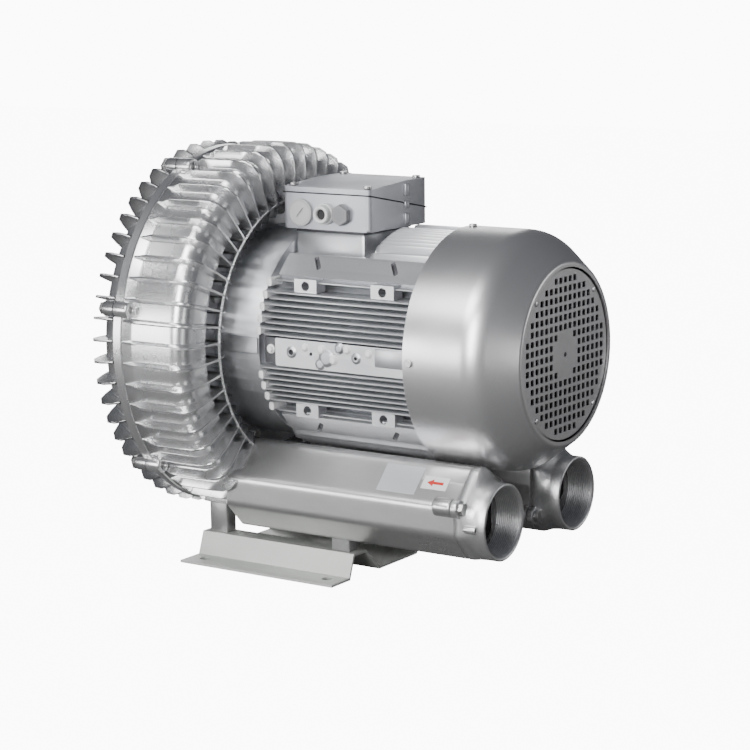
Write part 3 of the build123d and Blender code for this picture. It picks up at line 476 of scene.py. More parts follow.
# %% Ring cover
def ring_cover():
    """Domed cover with its fins, centre plate, cap, ribs and joint bosses."""
    bm = bmesh.new()
    dome = [spot[:2] for spot in bent(channel_r, joint_y, dome_half, dome_depth, range(8, 176, 8))]
    inside = [spot[:2] for spot in bent(channel_r, joint_y, channel_half, 31.0, range(180, -1, -15))]
    outline = [
        *inside, (flange_r, joint_y), (flange_r, joint_y + 4.8), (flange_r - 0.8, joint_y + 5.5),
        *dome, (recess_r - 2, joint_y + 8), (44, joint_y + 8), (42, joint_y + 10), (42, joint_y + 19),
        (40, joint_y + 21), (0, joint_y + 21), (0, joint_y + 15), (36, joint_y + 15), (36, joint_y)]
    turn(bm, outline, 3 * fin_count)
    close_up(bm)
    heights = (4.5, 8.5, 13.5, 17.0, 14.5, 8.5, 4.8, 3.8, 3.6, 3.2, 1.5)
    angles = (12, 18, 26, 36, 50, 64, 78, 92, 108, 122, 138)
    spots = bent(channel_r, joint_y, dome_half, dome_depth, angles)
    fins_all_round(bm, [(*spot, height) for spot, height in zip(spots, heights)])
    boss = rounded([(boss_r, joint_y), (boss_r, joint_y + 15), (0, joint_y + 15)], 1.2, 3, closed=False)
    for x, z in boss_places():
        turn(bm, boss, 28, x, z, closed=False)
    for i in range(8):
        turned = Matrix.Translation((0, 0, shaft_z)) @ Matrix.Rotation(radians(22.5 + 45 * i), 4, "Y")
        before = set(bm.verts)
        block(bm, (40, joint_y + 6, -1.8), (146, joint_y + 15, 1.8), 1.2)
        place_new(bm, before, turned)
    return place_mesh("ring_cover", bm, ring_paint, stands_for=("housing_cover",))


ring_cover()
print("ring cover built")

# %% [markdown]
# In front, the casing is one turned outline: joint flange, drum, soft corner, flat face, an open
# countersink and the recess for the bell. A thin hoop ties the inner ends of the face fins, and
# ribs reach in from it. The screws of the joint go through round bosses on the flange.


# %% Ring casing
def ring_casing():
    """Turned casing with its channel, lip, fins, recess ribs and joint bosses."""
    bm = bmesh.new()
    turned = bent(body_r - corner_r, ring_face_y + corner_r, corner_r, corner_r, range(-5, -90, -9))
    corner = [spot[:2] for spot in turned]
    channel = [spot[:2] for spot in bent(channel_r, land_y, channel_half, 34.0, range(180, 361, 15))]
    outline = [
        (194.0, joint_y), (flange_r, joint_y), (flange_r, joint_y - 4.8), (flange_r - 0.8, joint_y - 5.5),
        (body_r + 4.0, joint_y - 5.8), (body_r + 0.5, joint_y - 15.5), (body_r, joint_y - 18),
        (body_r, ring_face_y + corner_r),
        *corner, (body_r - corner_r, ring_face_y), (edge_r + 1.0, ring_face_y), (edge_r, ring_face_y + 1.0),
        (rim_r - 1, ring_face_y + 13), (recess_r, ring_face_y + 24), (recess_r, recess_y - 3),
        (recess_r - 3, recess_y), (bell_hole_r, recess_y), (bell_hole_r, land_y), *channel]
    turn(bm, outline, 3 * fin_count)
    hoop = rounded([(rim_r - 2.2, ring_face_y - 12.5), (rim_r, ring_face_y - 12.5),
                    (rim_r, ring_face_y - 9.5), (rim_r - 2.2, ring_face_y - 9.5)], 0.6, 2)
    turn(bm, hoop, 3 * fin_count)
    close_up(bm)
    start_y = joint_y - 6.5
    path = [(body_r, start_y, 1, 0, 4.4), (body_r, start_y - 9, 1, 0, 6.5),
            (body_r, start_y - 16, 1, 0, 9.6), (body_r, start_y - 19, 1, 0, 10.3),
            (body_r, 90, 1, 0, 10.6), (body_r, 64, 1, 0, 10.8)]
    turns = bent(body_r - corner_r, ring_face_y + corner_r, corner_r, corner_r, (-10, -28, -45, -62, -80))
    path += [(*spot, height) for spot, height in zip(turns, (11.2, 14.4, 16.4, 15.6, 12.7))]
    path += [(178, ring_face_y, 0, -1, 12.5), (edge_r + 1, ring_face_y, 0, -1, 12.4),
             (rim_r - 1, ring_face_y + 13, 0, -1, 25.4)]
    fins_all_round(bm, path)
    ribs = [(recess_r, recess_y - 2, -1, 0, 2.0), (recess_r, recess_y - 8, -1, 0, 4.0),
            (recess_r, ring_face_y + 24, -1, 0, 5.0), (rim_r - 1, ring_face_y + 13, -1, 0, 17.0),
            (rim_r - 1, ring_face_y - 6, -1, 0, 15.0), (rim_r - 1, ring_face_y - 12, -1, 0, 3.0)]
    fins_all_round(bm, ribs, 1.6, 1.0)
    boss = rounded([(0, joint_y), (boss_r, joint_y), (boss_r, joint_y - 19), (4.4, joint_y - 19),
                    (4.0, joint_y - 10), (0, joint_y - 10)], 1.2, 3, closed=False)
    for x, z in boss_places():
        turn(bm, boss, 28, x, z, closed=False)
    return place_mesh("ring_casing", bm, [ring_paint, bare_casting])


casing = ring_casing()
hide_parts("blower_housing")
print("ring casing built")

# %% [markdown]
# The two silencer legs are long castings with eight soft edges. Their outline is sampled by angle
# from the port's centre, because the port flange in front must flow from the same outline into a
# round collar, and rows with equal numbers of points can follow each other directly.

# %% The legs' outline
port_x = 78.5
port_z = 85.0
leg_front_y = min(vert.co.y for vert in frame["nodes"]["blower_housing"].data.vertices) / MM
leg_corners = [(-122.5, 73.0), (-122.5, 105.0), (-86.0, 141.0), (-72.0, 141.0), (-36.0, 118.0),
               (-36.0, 59.5), (-52.0, 43.5), (-94.0, 43.5)]
loop_steps = 96
lug_places = ((-122.5, 105.0), (-36.0, 65.0))
foot_x, foot_y = 77.0, 84.0


def leg_loop(y, grow=0.0, roundness=0.0, collar=41.5):
    """Loop of the leg's outline at y, from the soft octagon to the round collar."""
    outline = rounded(leg_corners, 9.0, 6)
    points = []
    for i in range(loop_steps):
        angle = 2 * pi * i / loop_steps
        ray = Vector((cos(angle), sin(angle)))
        reach = 0.0
        for k, (x, z) in enumerate(outline):
            a = Vector((outline[k - 1][0] + port_x, outline[k - 1][1] - port_z))
            b = Vector((x + port_x, z - port_z))
            side = b - a
            cross = ray.x * side.y - ray.y * side.x
            if abs(cross) > 1e-9:
                t = (a.x * side.y - a.y * side.x) / cross
                u = (a.x * ray.y - a.y * ray.x) / cross
                if t > 0 and -1e-6 <= u <= 1 + 1e-6:
                    reach = max(reach, t)
        radius = (reach + grow) * (1 - roundness) + collar * roundness
        points.append(at(-port_x + radius * ray.x, y, port_z + radius * ray.y))
    return points


print("points in a row of the leg:", len(leg_loop(leg_front_y)))

# %% [markdown]
# Each leg stands on two feet, the front one short and painted dark for the shade it stands in. The
# inlet side is modelled once and mirrored. A mirror turns faces inside out, so the copy's faces are
# reversed.


# %% Legs
def mirrored(bm):
    """Add the mirror image across the shaft's upright plane."""
    copy = bmesh.ops.duplicate(bm, geom=bm.verts[:] + bm.edges[:] + bm.faces[:])["geom"]
    verts = [item for item in copy if isinstance(item, bmesh.types.BMVert)]
    faces = [item for item in copy if isinstance(item, bmesh.types.BMFace)]
    bmesh.ops.scale(bm, vec=(-1, 1, 1), verts=verts)
    bmesh.ops.reverse_faces(bm, faces=faces)


def legs():
    """Two silencer legs with their screw lugs and the feet under them."""
    bm = bmesh.new()
    back_y = ring_face_y + 4
    loft(bm, [leg_loop(back_y), leg_loop(-60), leg_loop(-170), leg_loop(leg_front_y + 1.2),
              leg_loop(leg_front_y + 0.4, -1.0), leg_loop(leg_front_y + 0.4, -12.0)])
    lug = rounded([(0, leg_front_y + 0.4), (10, leg_front_y + 0.4), (10, leg_front_y + 22),
                   (0, leg_front_y + 22)], 2.0, 3, closed=False)
    for x, z in lug_places:
        turn(bm, lug, 32, x, z, closed=False)
    close_up(bm)
    block(bm, (-foot_x - 9, foot_y - 12, 28.0), (-foot_x + 9, foot_y + 12, 78.0), 1.6)
    # The front feet take the dark paint: painted shade.
    known = set(bm.faces)
    block(bm, (-foot_x - 9, -foot_y - 12, 28.0), (-foot_x + 9, -foot_y + 12, 47.0), 1.6)
    paint_new(bm, known, 1)
    mirrored(bm)
    return place_mesh("silencer_legs", bm, [leg_paint, front_foot_painted_shade], sharp=50.0)


leg_piece = legs()
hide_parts("blower_housing")
print("legs built")

# %% [markdown]
# A port flange starts with the leg's outline and ends as a round collar: each row of points is
# mixed from both, and the share of the round grows towards the mouth. Its thread is a zigzag of
# rows inside the collar. The casting there is bare, because paint would clog the thread.


# %% Port flanges
def port_flange(name, node, side):
    """Port flange: soft octagon that flows into a round collar with a thread cut inside."""
    bm = bmesh.new()
    y = leg_front_y
    stations = [(y - 0.4, -12.0, 0.0), (y - 0.4, -1.0, 0.0), (y - 1.4, 0.0, 0.0), (y - 7.0, 0.0, 0.0),
                (y - 11.0, -0.6, 0.12), (y - 15.0, -1.0, 0.45), (y - 19.0, 0.0, 0.82), (y - 23.0, 0.0, 1.0),
                (y - 34.2, 0.0, 1.0)]
    rows = [leg_loop(place, grow, share) for place, grow, share in stations]
    bore = [(y - 35.0, 40.7), (y - 35.0, 38.6), (y - 32.5, 36.5)]
    bore += [(y - 31.8 + 1.15 * i, 36.2 + 1.1 * (i % 2)) for i in range(26)] + [(y - 0.4, 36.1)]
    rows += [leg_loop(place, 0, 1.0, radius) for place, radius in bore]
    loft(bm, rows, ends=())
    lug = rounded([(0, y - 0.4), (10, y - 0.4), (10, y - 8), (0, y - 8)], 1.5, 3, closed=False)
    for x, z in lug_places:
        turn(bm, lug, 32, x, z, closed=False)
    ear = rounded([(0, y - 12), (4.5, y - 12), (4.5, y - 26), (2.4, y - 26), (2.2, y - 20), (0, y - 20)],
                  0.8, 2, closed=False)
    turn(bm, ear, 24, -120.5, 84.0, closed=False)
    close_up(bm)
    if side > 0:
        bmesh.ops.scale(bm, vec=(-1, 1, 1), verts=bm.verts)
        bmesh.ops.reverse_faces(bm, faces=bm.faces)
    return place_mesh(name, bm, bare_casting, stands_for=(node,), sharp=50.0)


port_flange("inlet_flange", "inlet_port_flange", -1)
port_flange("outlet_flange", "outlet_port_flange", 1)
print("port flanges built")

# %% [markdown]
# The motor's frame is a cast drum with level fins. Every second fin starts a little later, the
# fins taper to their tips and their back ends slope. Webs join the back ends in pairs; they are white,
# partly where the paint has been rubbed off and partly as a painted highlight.

# %% Fins of the motor
frame_back_y = -2.0
frame_front_y = -198.0
drum_r = 106.0
fin_circle_r = 127.5
fin_pitch = 6.3
rail_half = 12.0
pad_plane = 124.0
pad_half = 15.0
pad_back_y = frame_back_y - 14.0
slot_places = (frame_back_y - 57.0, frame_back_y - 156.0)
slot_lean = radians(35.0)
slot_shift = 4.0
neck_front_y = -95.5
fin_heights = [rail_half + fin_pitch * (row + 0.5) for row in (*range(8), 9)]
# Finish numbers on the motor drum: its paint, white for rubbed metal and painted highlights, and a dark
# steel used as painted shade.
painted, rubbed_and_painted_highlight, painted_shade = 0, 1, 2


def level_fin(bm, height, side, back_y, turned=False):
    """One fin of the motor at a height above the shaft, with a ramp at its back end."""
    root = sqrt(drum_r ** 2 - height ** 2) - 3.0
    tip = sqrt(fin_circle_r ** 2 - (abs(height) + 1.4) ** 2)
    rows = []
    for y, share in ((back_y, 0.35), (back_y - 2.0, 0.72), (back_y - 5.0, 0.94), (back_y - 9.0, 1.0),
                     (frame_front_y + 2.0, 1.0), (frame_front_y, 0.96)):
        reach = root + (tip - root) * share
        half = [(root, 1.9), (root + 5.0, 1.55), (reach - 1.0, 1.15), (reach, 0.5)]
        section = [(r, height + w) for r, w in half] + [(r, height - w) for r, w in reversed(half)]
        rows.append([at(-h, y, 0) + Vector((0, 0, shaft_z + side * r * MM)) if turned
                     else at(side * r, y, shaft_mm + h) for r, h in section])
    loft(bm, rows, ends=(0,), finish=painted)


def knuckle(bm, height):
    """Rounded web joining the back ends of two neighbouring fins on the -X side, white: rubbed metal and
    painted highlight.
    """
    tip = sqrt(fin_circle_r ** 2 - (abs(height) + fin_pitch / 2 + 1.4) ** 2)
    root = sqrt(drum_r ** 2 - height ** 2) - 6.0
    half, y_back = fin_pitch / 2 + 1.1, frame_back_y
    rows = []
    for reach, shrink in ((root, 0.0), (tip - 4.5, 0.0), (tip - 1.5, 0.6), (tip, 2.0)):
        corners = [(y_back - 8.5, height - half), (y_back - shrink * 2, height - half),
                   (y_back - shrink * 2, height + half), (y_back - 8.5, height + half)]
        soft = rounded(corners, 2.4 + 0.5 * shrink, 4)
        rows.append([at(-reach, y, z) + Vector((0, 0, shaft_z)) for y, z in soft])
    loft(bm, rows, finish=rubbed_and_painted_highlight)


print("rows of fins:", len(fin_heights))

# %% [markdown]
# Smooth slanted pads and the side rails break the rows of fins. The pads have two open slots each,
# with dark blocks behind them as painted shade. Small square bosses with drilled holes stand in the
# gap beside a pad.


# %% Pads and drilled bosses
def slanted_pad(bm, turn_by, away):
    """Smooth slanted pad with two open slots that lie away from the side rail."""
    def place(y, across):
        """A place on the pad before it is turned to its corner."""
        return at(pad_plane, y, across) + Vector((0, 0, shaft_z))

    shape = rounded([(-2.7, -10.0), (2.7, -10.0), (2.7, 10.0), (-2.7, 10.0)], 2.6, 4)
    c, s = cos(slot_lean), away * sin(slot_lean)
    slots = [[(y + c * a + s * b, away * slot_shift - s * a + c * b) for a, b in shape] for y in slot_places]
    rim = rounded([(frame_front_y + 0.5, -pad_half), (pad_back_y, -pad_half), (pad_back_y, pad_half),
                   (frame_front_y + 0.5, pad_half)], 2.0, 3)
    before = set(bm.verts)
    pierced(bm, rim, slots, place, at(-11.0, 0, 0))
    # Dark blocks under the slots: painted shade for the depth of the open slots.
    known = set(bm.faces)
    mid = shaft_mm + away * slot_shift
    for y in slot_places:
        block(bm, (pad_plane - 8, y - 9.0, mid - 10.0), (pad_plane - 3.5, y + 9.0, mid + 10.0), 0.3)
    paint_new(bm, known, painted_shade)
    around = (Matrix.Translation((0, 0, shaft_z)) @ Matrix.Rotation(turn_by, 4, "Y")
              @ Matrix.Translation((0, 0, -shaft_z)))
    place_new(bm, before, around)


def drilled_block(bm, low, high, hole_r):
    """Square boss on the -X side with a blind hole in its outer face."""
    y_mid, z_mid = (low[1] + high[1]) / 2, (low[2] + high[2]) / 2
    rim = rounded([(low[1], low[2]), (high[1], low[2]), (high[1], high[2]), (low[1], high[2])], 1.2, 3)
    hole = [(y_mid + a, z_mid + b) for a, b in circle(hole_r, 20)]
    pierced(bm, rim, [hole], lambda y, z: at(low[0], y, z), at(high[0] - low[0], 0, 0))


print("pads and bosses ready")

# %% [markdown]
# The rail on the cable side carries what is left of the casting's own bosses: low lumps, some
# painted white as highlights, and a few drilled holes. Behind its back end lies a recess, painted dark
# as shade, with one screw.

# %% Side rail
drilled_places = {-50.5: 3.2, -76.0: 2.0, -106.0: 2.4, -134.5: 2.0, -189.0: 1.8}
painted_lumps = ((-50.5, -2.0, 5.4, 1.6), (-96.0, -5.0, 8.6, 1.5), (-113.0, 7.0, 5.0, 2.0),
                 (-134.5, -2.0, 5.0, 1.4), (-88.0, -12.0, 5.4, 1.2))
painted_highlight_lumps = ((-68.5, 4.5, 3.4, 2.4), (-90.0, 4.0, 4.2, 2.6), (-105.5, -6.0, 4.4, 3.2),
                (-123.0, 6.5, 4.0, 2.6), (-150.5, 4.0, 3.6, 2.4))
rail_face_x = -fin_circle_r + 3.0


def cast_lump(bm, y, z, radius, tall):
    """Low round lump on the rail, with its hole where one is drilled."""
    tip = rail_face_x - tall
    hole_r = drilled_places.get(y, 0.0)
    last = (hole_r, rail_face_x - 0.9 * tall) if hole_r else (0.0, tip)
    outline = [(radius + 1.6, rail_face_x + 0.2), (radius + 0.4, rail_face_x - 0.3 * tall),
               (0.7 * radius, tip), last]
    turn_on_x(bm, rounded(outline, 1.2, 3, closed=False), 20, y, shaft_mm + z)


def side_rail(bm):
    """Rail on the -X side with its holes and lumps, and the recess with a screw behind it."""
    low, high, back = shaft_mm - rail_half - fin_pitch, shaft_mm + rail_half, pad_back_y - 13.0
    hole_z = shaft_mm - 2.0
    front = frame_front_y + 0.5
    holes = [[(y + a, hole_z + b) for a, b in circle(radius, 20)] for y, radius in drilled_places.items()]
    rim = rounded([(front, low), (back, low), (back, high), (front, high)], 2.0, 3)
    pierced(bm, rim, holes, lambda y, z: at(rail_face_x, y, z), at(23.0, 0, 0))
    block(bm, (rail_face_x - 1.0, front + 0.5, shaft_mm - 9.0), (-120.0, -158.0, shaft_mm + 11.0), 1.5)
    # The recess behind the rail's back end is a dark block: painted shade.
    known = set(bm.faces)
    block(bm, (-117.0, back - 3.0, low + 1.0), (-106.0, frame_back_y - 7.5, high - 1.0), 0.5)
    paint_new(bm, known, painted_shade)
    for lump in painted_lumps:
        cast_lump(bm, *lump)
    # These lumps and the screw are painted white: a painted highlight on the same grey metal.
    known = set(bm.faces)
    for lump in painted_highlight_lumps:
        cast_lump(bm, *lump)
    screw = [(0, -120.5), (2.8, -120.5), (3.2, -120.0), (3.2, -118.0), (5.0, -118.0), (5.2, -117.5),
             (5.2, -111.0)]
    turn_on_x(bm, screw, 20, -18.0, hole_z)
    paint_new(bm, known, rubbed_and_painted_highlight)


print("lumps on the rail:", len(painted_lumps) + len(painted_highlight_lumps))

# %% [markdown]
# Now the frame is put together: the drum, the rows of fins on all four sides, the pads, bosses and
# rails, and the square neck that carries the terminal box. The fins on top make room for the neck.


# %% Motor frame
def fin_rows(bm):
    """Rows of fins on the four sides of the drum."""
    for side in (-1, 1):
        for row, height in enumerate(fin_heights):
            back_y = frame_back_y - (0.0 if row % 2 else 7.0)
            for up in (-1, 1):
                if side > 0 or up > 0 or row > 0:
                    level_fin(bm, up * height, side, back_y)
                level_fin(bm, up * height, side, back_y if side < 0 else neck_front_y - 20.0, turned=True)


def bosses_and_pads(bm):
    """Slanted pads at the four corners, and drilled bosses beside those of the -X side."""
    for turn_by, away in ((45, -1), (135, 1), (225, -1), (315, 1)):
        slanted_pad(bm, radians(turn_by), away)
    near, far = rail_half + fin_pitch * 7.75, rail_half + fin_pitch * 10.1
    for y in slot_places:
        for low, high in ((shaft_mm + near, shaft_mm + far), (shaft_mm - far, shaft_mm - near)):
            drilled_block(bm, (-109.0, y - 14.5, low), (-92.0, y + 14.5, high), 5.2)


def motor_frame():
    """Drum with level fins, side rails, slanted pads, drilled bosses and the neck of the box."""
    bm = bmesh.new()
    turn(bm, rounded([(98.0, frame_back_y - 1), (drum_r, frame_back_y - 1), (drum_r, frame_front_y),
                      (98.0, frame_front_y)], 1.0, 2), 96)
    fin_rows(bm)
    for step in range(5):
        knuckle(bm, rail_half + fin_pitch * (1 + 2 * step))
        if step > 0:
            knuckle(bm, -rail_half - fin_pitch * (1 + 2 * step))
    bosses_and_pads(bm)
    side_rail(bm)
    rail_front_y, rail_r = frame_front_y + 0.5, fin_circle_r - 2
    block(bm, (102.0, rail_front_y, shaft_mm - rail_half), (rail_r, pad_back_y, shaft_mm + rail_half), 1.5)
    block(bm, (-rail_half, rail_front_y, shaft_mm - rail_r), (rail_half, pad_back_y, shaft_mm - 102), 1.5)
    block(bm, (-48.0, neck_front_y, shaft_mm + 70), (48.0, -3.5, 375.0), 5.0)
    # A dark strip under the box stands for the shadow gap there: painted shade.
    known = set(bm.faces)
    block(bm, (-47.0, neck_front_y + 1, 374.0), (47.0, -4.5, 378.2), 0.4)
    paint_new(bm, known, painted_shade)
    close_up(bm)
    return place_mesh("motor_drum", bm, [motor_paint, bare_and_highlight_white, core_steel], stands_for=("motor_frame",))


motor_frame()
print("motor frame built")

# %% [markdown]
# The cowl is a pressed sheet, so its outline is one thin line with a long soft bend and a tight
# bend at the lip. The grille is a disc with some two hundred square holes. It is filled once as a
# flat pattern and then given its thickness, which is much quicker than cutting each hole.

# %% Fan cowl and grille
cowl_r = 130.0
cowl_rim_y = -196.0
cowl_end_y = min(vert.co.y for vert in frame["nodes"]["fan_cowl"].data.vertices) / MM
grille_y = cowl_end_y + 2.0
disc_r = 93.0
hole_pitch = 10.0
hole_half = 3.25
stud_circle_r = 87.5


def soft_path(points, radii, steps):
    """Open outline with its own radius at each inner corner."""
    result = [points[0]]
    for i, radius in enumerate(radii, 1):
        result += rounded(points[i - 1:i + 2], radius, steps, closed=False)[1:-1]
    return result + [points[-1]]


def grille_holes():
    """Square holes on a grid between the hub and the rim, and the round one in the middle."""
    square = rounded([(-hole_half, -hole_half), (hole_half, -hole_half), (hole_half, hole_half),
                      (-hole_half, hole_half)], 0.7, 1)
    steps = [hole_pitch * i for i in range(-9, 10)]
    places = [(x, z) for x in steps for z in steps if 27.0 < hypot(x, z) < 82.5]
    return [[(x + a, z + b) for a, b in square] for x, z in places] + [circle(2.6, 16)]


def fan_cowl():
    """Pressed cowl with the grille disc set in its lip."""
    bm = bmesh.new()
    outside = soft_path([(cowl_r, cowl_rim_y), (cowl_r, -279.0), (98.6, cowl_end_y), (disc_r, cowl_end_y)],
                        (46.0, 5.0), 12)
    inside = [(radius - 2.0, max(y, cowl_end_y + 2.0)) for radius, y in reversed(outside)]
    turn(bm, outside + [(disc_r, grille_y)] + inside, 144)
    close_up(bm)
    pierced(bm, circle(disc_r + 1.0, 144), grille_holes(),
            lambda x, z: at(x, grille_y, z) + Vector((0, 0, shaft_z)), at(0, 2.0, 0))
    bmesh.ops.recalc_face_normals(bm, faces=bm.faces)
    stud = rounded([(0, grille_y - 1.4), (3.0, grille_y - 1.4), (3.0, grille_y)], 0.8, 2, closed=False)
    for i in range(4):
        angle = radians(45 + 90 * i)
        turn(bm, stud, 16, stud_circle_r * cos(angle), shaft_mm + stud_circle_r * sin(angle), closed=False)
    return place_mesh("cowl_sheet", bm, cowl_paint, stands_for=("fan_cowl",), sharp=35.0)


fan_cowl()
print("cowl built with holes:", len(grille_holes()))

# %% [markdown]
# The terminal box is two shells that meet on a slanted line. Its side wall carries a large plug
# with a driver slot, an open gland and a hex plug, and its front wall small screw lugs. They are
# turned or extruded from the wall outwards, so that none of them floats.

# %% Plugs, gland and lugs of the box
box_x = 57.0
box_front_y = -109.0
gland_z = 396.0
plug_y, gland_y, hex_y = -19.0, -51.5, -73.0
lug_x = 14.0


def blanking_plug():
    """Low round plug with a driver slot."""
    bm = bmesh.new()
    face = -box_x - 4.0
    c, s = cos(radians(-50)), sin(radians(-50))
    slot = [(c * a - s * b, s * a + c * b)
            for a, b in rounded([(-6.5, -1.0), (6.5, -1.0), (6.5, 1.0), (-6.5, 1.0)], 0.9, 3)]
    pierced(bm, circle(12.6, 48), [slot], lambda y, z: at(face, y + plug_y, z + gland_z), at(1.6, 0, 0))
    rim = rounded([(0, face + 1.5), (12.5, face + 1.2), (12.6, face), (15.0, face), (15.0, -box_x + 0.2)],
                  0.8, 3, closed=False)
    turn_on_x(bm, rim, 48, plug_y, gland_z)
    close_up(bm)
    return place_mesh("round_plug", bm, grey_plastic, stands_for=("blanking_plug",))


def open_gland():
    """Open cable gland with a dark disc in its bore as painted shade."""
    bm = bmesh.new()
    out = -box_x - 12.0
    ring = rounded([(5.8, -box_x), (5.8, out + 1), (6.8, out), (9.2, out), (10.0, out + 1.5),
                    (10.0, -box_x - 5), (11.6, -box_x - 5), (11.6, -box_x)], 0.6, 2, closed=False)
    turn_on_x(bm, ring, 40, gland_y, gland_z)
    # The bore's bottom is a dark disc: painted shade.
    known = set(bm.faces)
    turn_on_x(bm, [(0.0, -box_x - 8.5), (6.0, -box_x - 8.5), (6.0, -box_x)], 40, gland_y, gland_z)
    paint_new(bm, known, 1)
    close_up(bm)
    return place_mesh("open_gland", bm, [light_plastic, rubber_and_painted_shade], stands_for=("cable_gland",))


def hex_stopper():
    """Hex plug beside the gland."""
    bm = bmesh.new()
    turns = [radians(60 * i + 30) for i in range(6)]
    head = rounded([(12.0 * cos(angle), 12.0 * sin(angle)) for angle in turns], 1.0, 2)
    rows = [[at(-box_x - out, hex_y + share * y, gland_z + share * z) for y, z in head]
            for share, out in ((1.0, 0.0), (1.0, 5.8), (0.92, 7.0), (0.55, 7.0))]
    loft(bm, rows)
    close_up(bm)
    return place_mesh("hex_stopper", bm, dark_plastic, stands_for=("hex_plug",))


def box_lugs():
    """Small screw lugs on the front wall of the box and its lid."""
    bm = bmesh.new()
    outline = rounded([(0.0, -4.0), (3.0, -4.0), (4.6, 0.0), (3.0, 4.0), (0.0, 4.0)], 1.5, 3)
    for low, high in ((412.0, 425.5), (398.5, 406.5), (381.0, 393.0)):
        loft(bm, [[at(lug_x + share * b, box_front_y + 0.5 - share * a, z) for a, b in outline]
                  for share, z in ((0.8, low), (1.0, low + 1.2), (1.0, high - 1.2), (0.8, high))])
    close_up(bm)
    return place_mesh("box_lugs", bm, box_paint)


blanking_plug()
open_gland()
hex_stopper()
box_lugs()
print("plugs, gland and lugs placed")

# %% [markdown]
# A label with nothing on it and a plain flow arrow sit on the inlet leg's slanted face. They are
# thin sheets that stand a hair proud of the casting, so each is placed in that face's own
# directions: along the leg, up the slope and out of it.

# %% Labels on the slope
slope_foot, slope_top = Vector((-122.5, 105.0)), Vector((-86.0, 141.0))
slope_up = (slope_top - slope_foot).normalized()
slope_out = Vector((-slope_up.y, slope_up.x))
label_mid = slope_foot + slope_up * 27.0


def on_slope(y, up, out):
    """A place by the label's middle line: along the leg, up the slope and out of it."""
    spot = label_mid + slope_up * up + slope_out * out
    return at(spot.x, y, spot.y)


def slope_sheet(name, y_from, y_to, half, lift, material):
    """Thin sheet on the slanted face of the inlet leg."""
    bm = bmesh.new()
    corners = ((-half, 0.05), (half, 0.05), (half, lift), (-half, lift))
    loft(bm, [[on_slope(y, up, out) for up, out in corners] for y in (y_from, y_to)])
    close_up(bm)
    return place_mesh(name, bm, material)


def flow_arrow():
    """Red arrow that points along the leg to the ring."""
    tail, neck, point = -229.5, -217.0, -209.0
    outline = [(tail, -1.7), (neck, -1.7), (neck, -4.4), (point, 0.0), (neck, 4.4), (neck, 1.7), (tail, 1.7)]
    bm = bmesh.new()
    pierced(bm, outline, [], lambda y, up: on_slope(y, up, 0.42), at(slope_out.x, 0, slope_out.y) * 0.1)
    close_up(bm)
    return place_mesh("flow_arrow", bm, arrow_red)


slope_sheet("blank_label", -200.0, -152.0, 17.0, 0.45, label_silver)
slope_sheet("arrow_sticker", -235.0, -204.0, 8.0, 0.42, label_white)
flow_arrow()
print("labels placed")

# %% [markdown]
# A foundry casts no knife edges, and bent sheet has none either. The plain parts keep their solid's
# form: a copy is merged, its flat faces are made whole again, and a small bevel goes round every
# real edge. The copy then stands for the solid.


# %% Finished copies of the plain parts
def soft_corners(bm, radius):
    """Round the outer upright edges of a box with a larger radius than its other edges."""
    near = 1e-4
    reach = max(abs(vert.co.x) for vert in bm.verts) - near
    low, high = min(vert.co.y for vert in bm.verts) + near, max(vert.co.y for vert in bm.verts) - near
    corners = [edge for edge in bm.edges if (edge.verts[0].co - edge.verts[1].co).xy.length < 1e-5
               and abs(edge.verts[0].co.x) > reach and not low < edge.verts[0].co.y < high]
    bmesh.ops.bevel(bm, geom=corners, offset=radius * MM, segments=5, profile=0.5, affect="EDGES",
                    material=-1)


def finished_copy(node, material, bevel, steps, corner):
    """Copy a node's mesh, merge it, round its edges and let the copy stand for the node."""
    bm = bmesh.new()
    bm.from_mesh(frame["nodes"][node].data)
    bmesh.ops.remove_doubles(bm, verts=bm.verts, dist=1e-6)
    bmesh.ops.dissolve_limit(bm, angle_limit=radians(1.0), verts=bm.verts, edges=bm.edges)
    if corner:
        soft_corners(bm, corner)
    piece = place_mesh(node + "_skin", bm, material, stands_for=(node,))
    rounding = piece.modifiers.new("rounded edges", "BEVEL")
    rounding.width = bevel * MM
    rounding.segments = steps
    rounding.limit_method = "ANGLE"
    rounding.angle_limit = radians(28.0)
    rounding.harden_normals = True
    return piece


finished = {
    "base_plate": (base_paint, 1.2, 3), "drive_end_bell": (motor_paint, 1.0, 2),
    "rear_end_shield": (motor_paint, 0.8, 2), "terminal_box_base": (box_paint, 2.0, 3),
    "terminal_box_lid": (box_paint, 2.0, 3), "cover_screws": (zinc, 0.4, 2), "foot_screws": (zinc, 0.4, 2),
    "port_flange_screws": (zinc, 0.5, 2), "cowl_screws": (zinc, 0.6, 2), "lid_screws": (zinc, 0.4, 2),
    "bell_screws": (zinc, 0.4, 2),
}
for node, (material, bevel, steps) in finished.items():
    finished_copy(node, material, bevel, steps, corner=5.0 if node.startswith("terminal") else 0.0)
print("finished copies:", len(finished))

# %% [markdown]
# The pieces inside the casings are seen only through the grille, the ports or when the blower is
# opened, so their own meshes stay and each takes the finish of its metal or plastic.

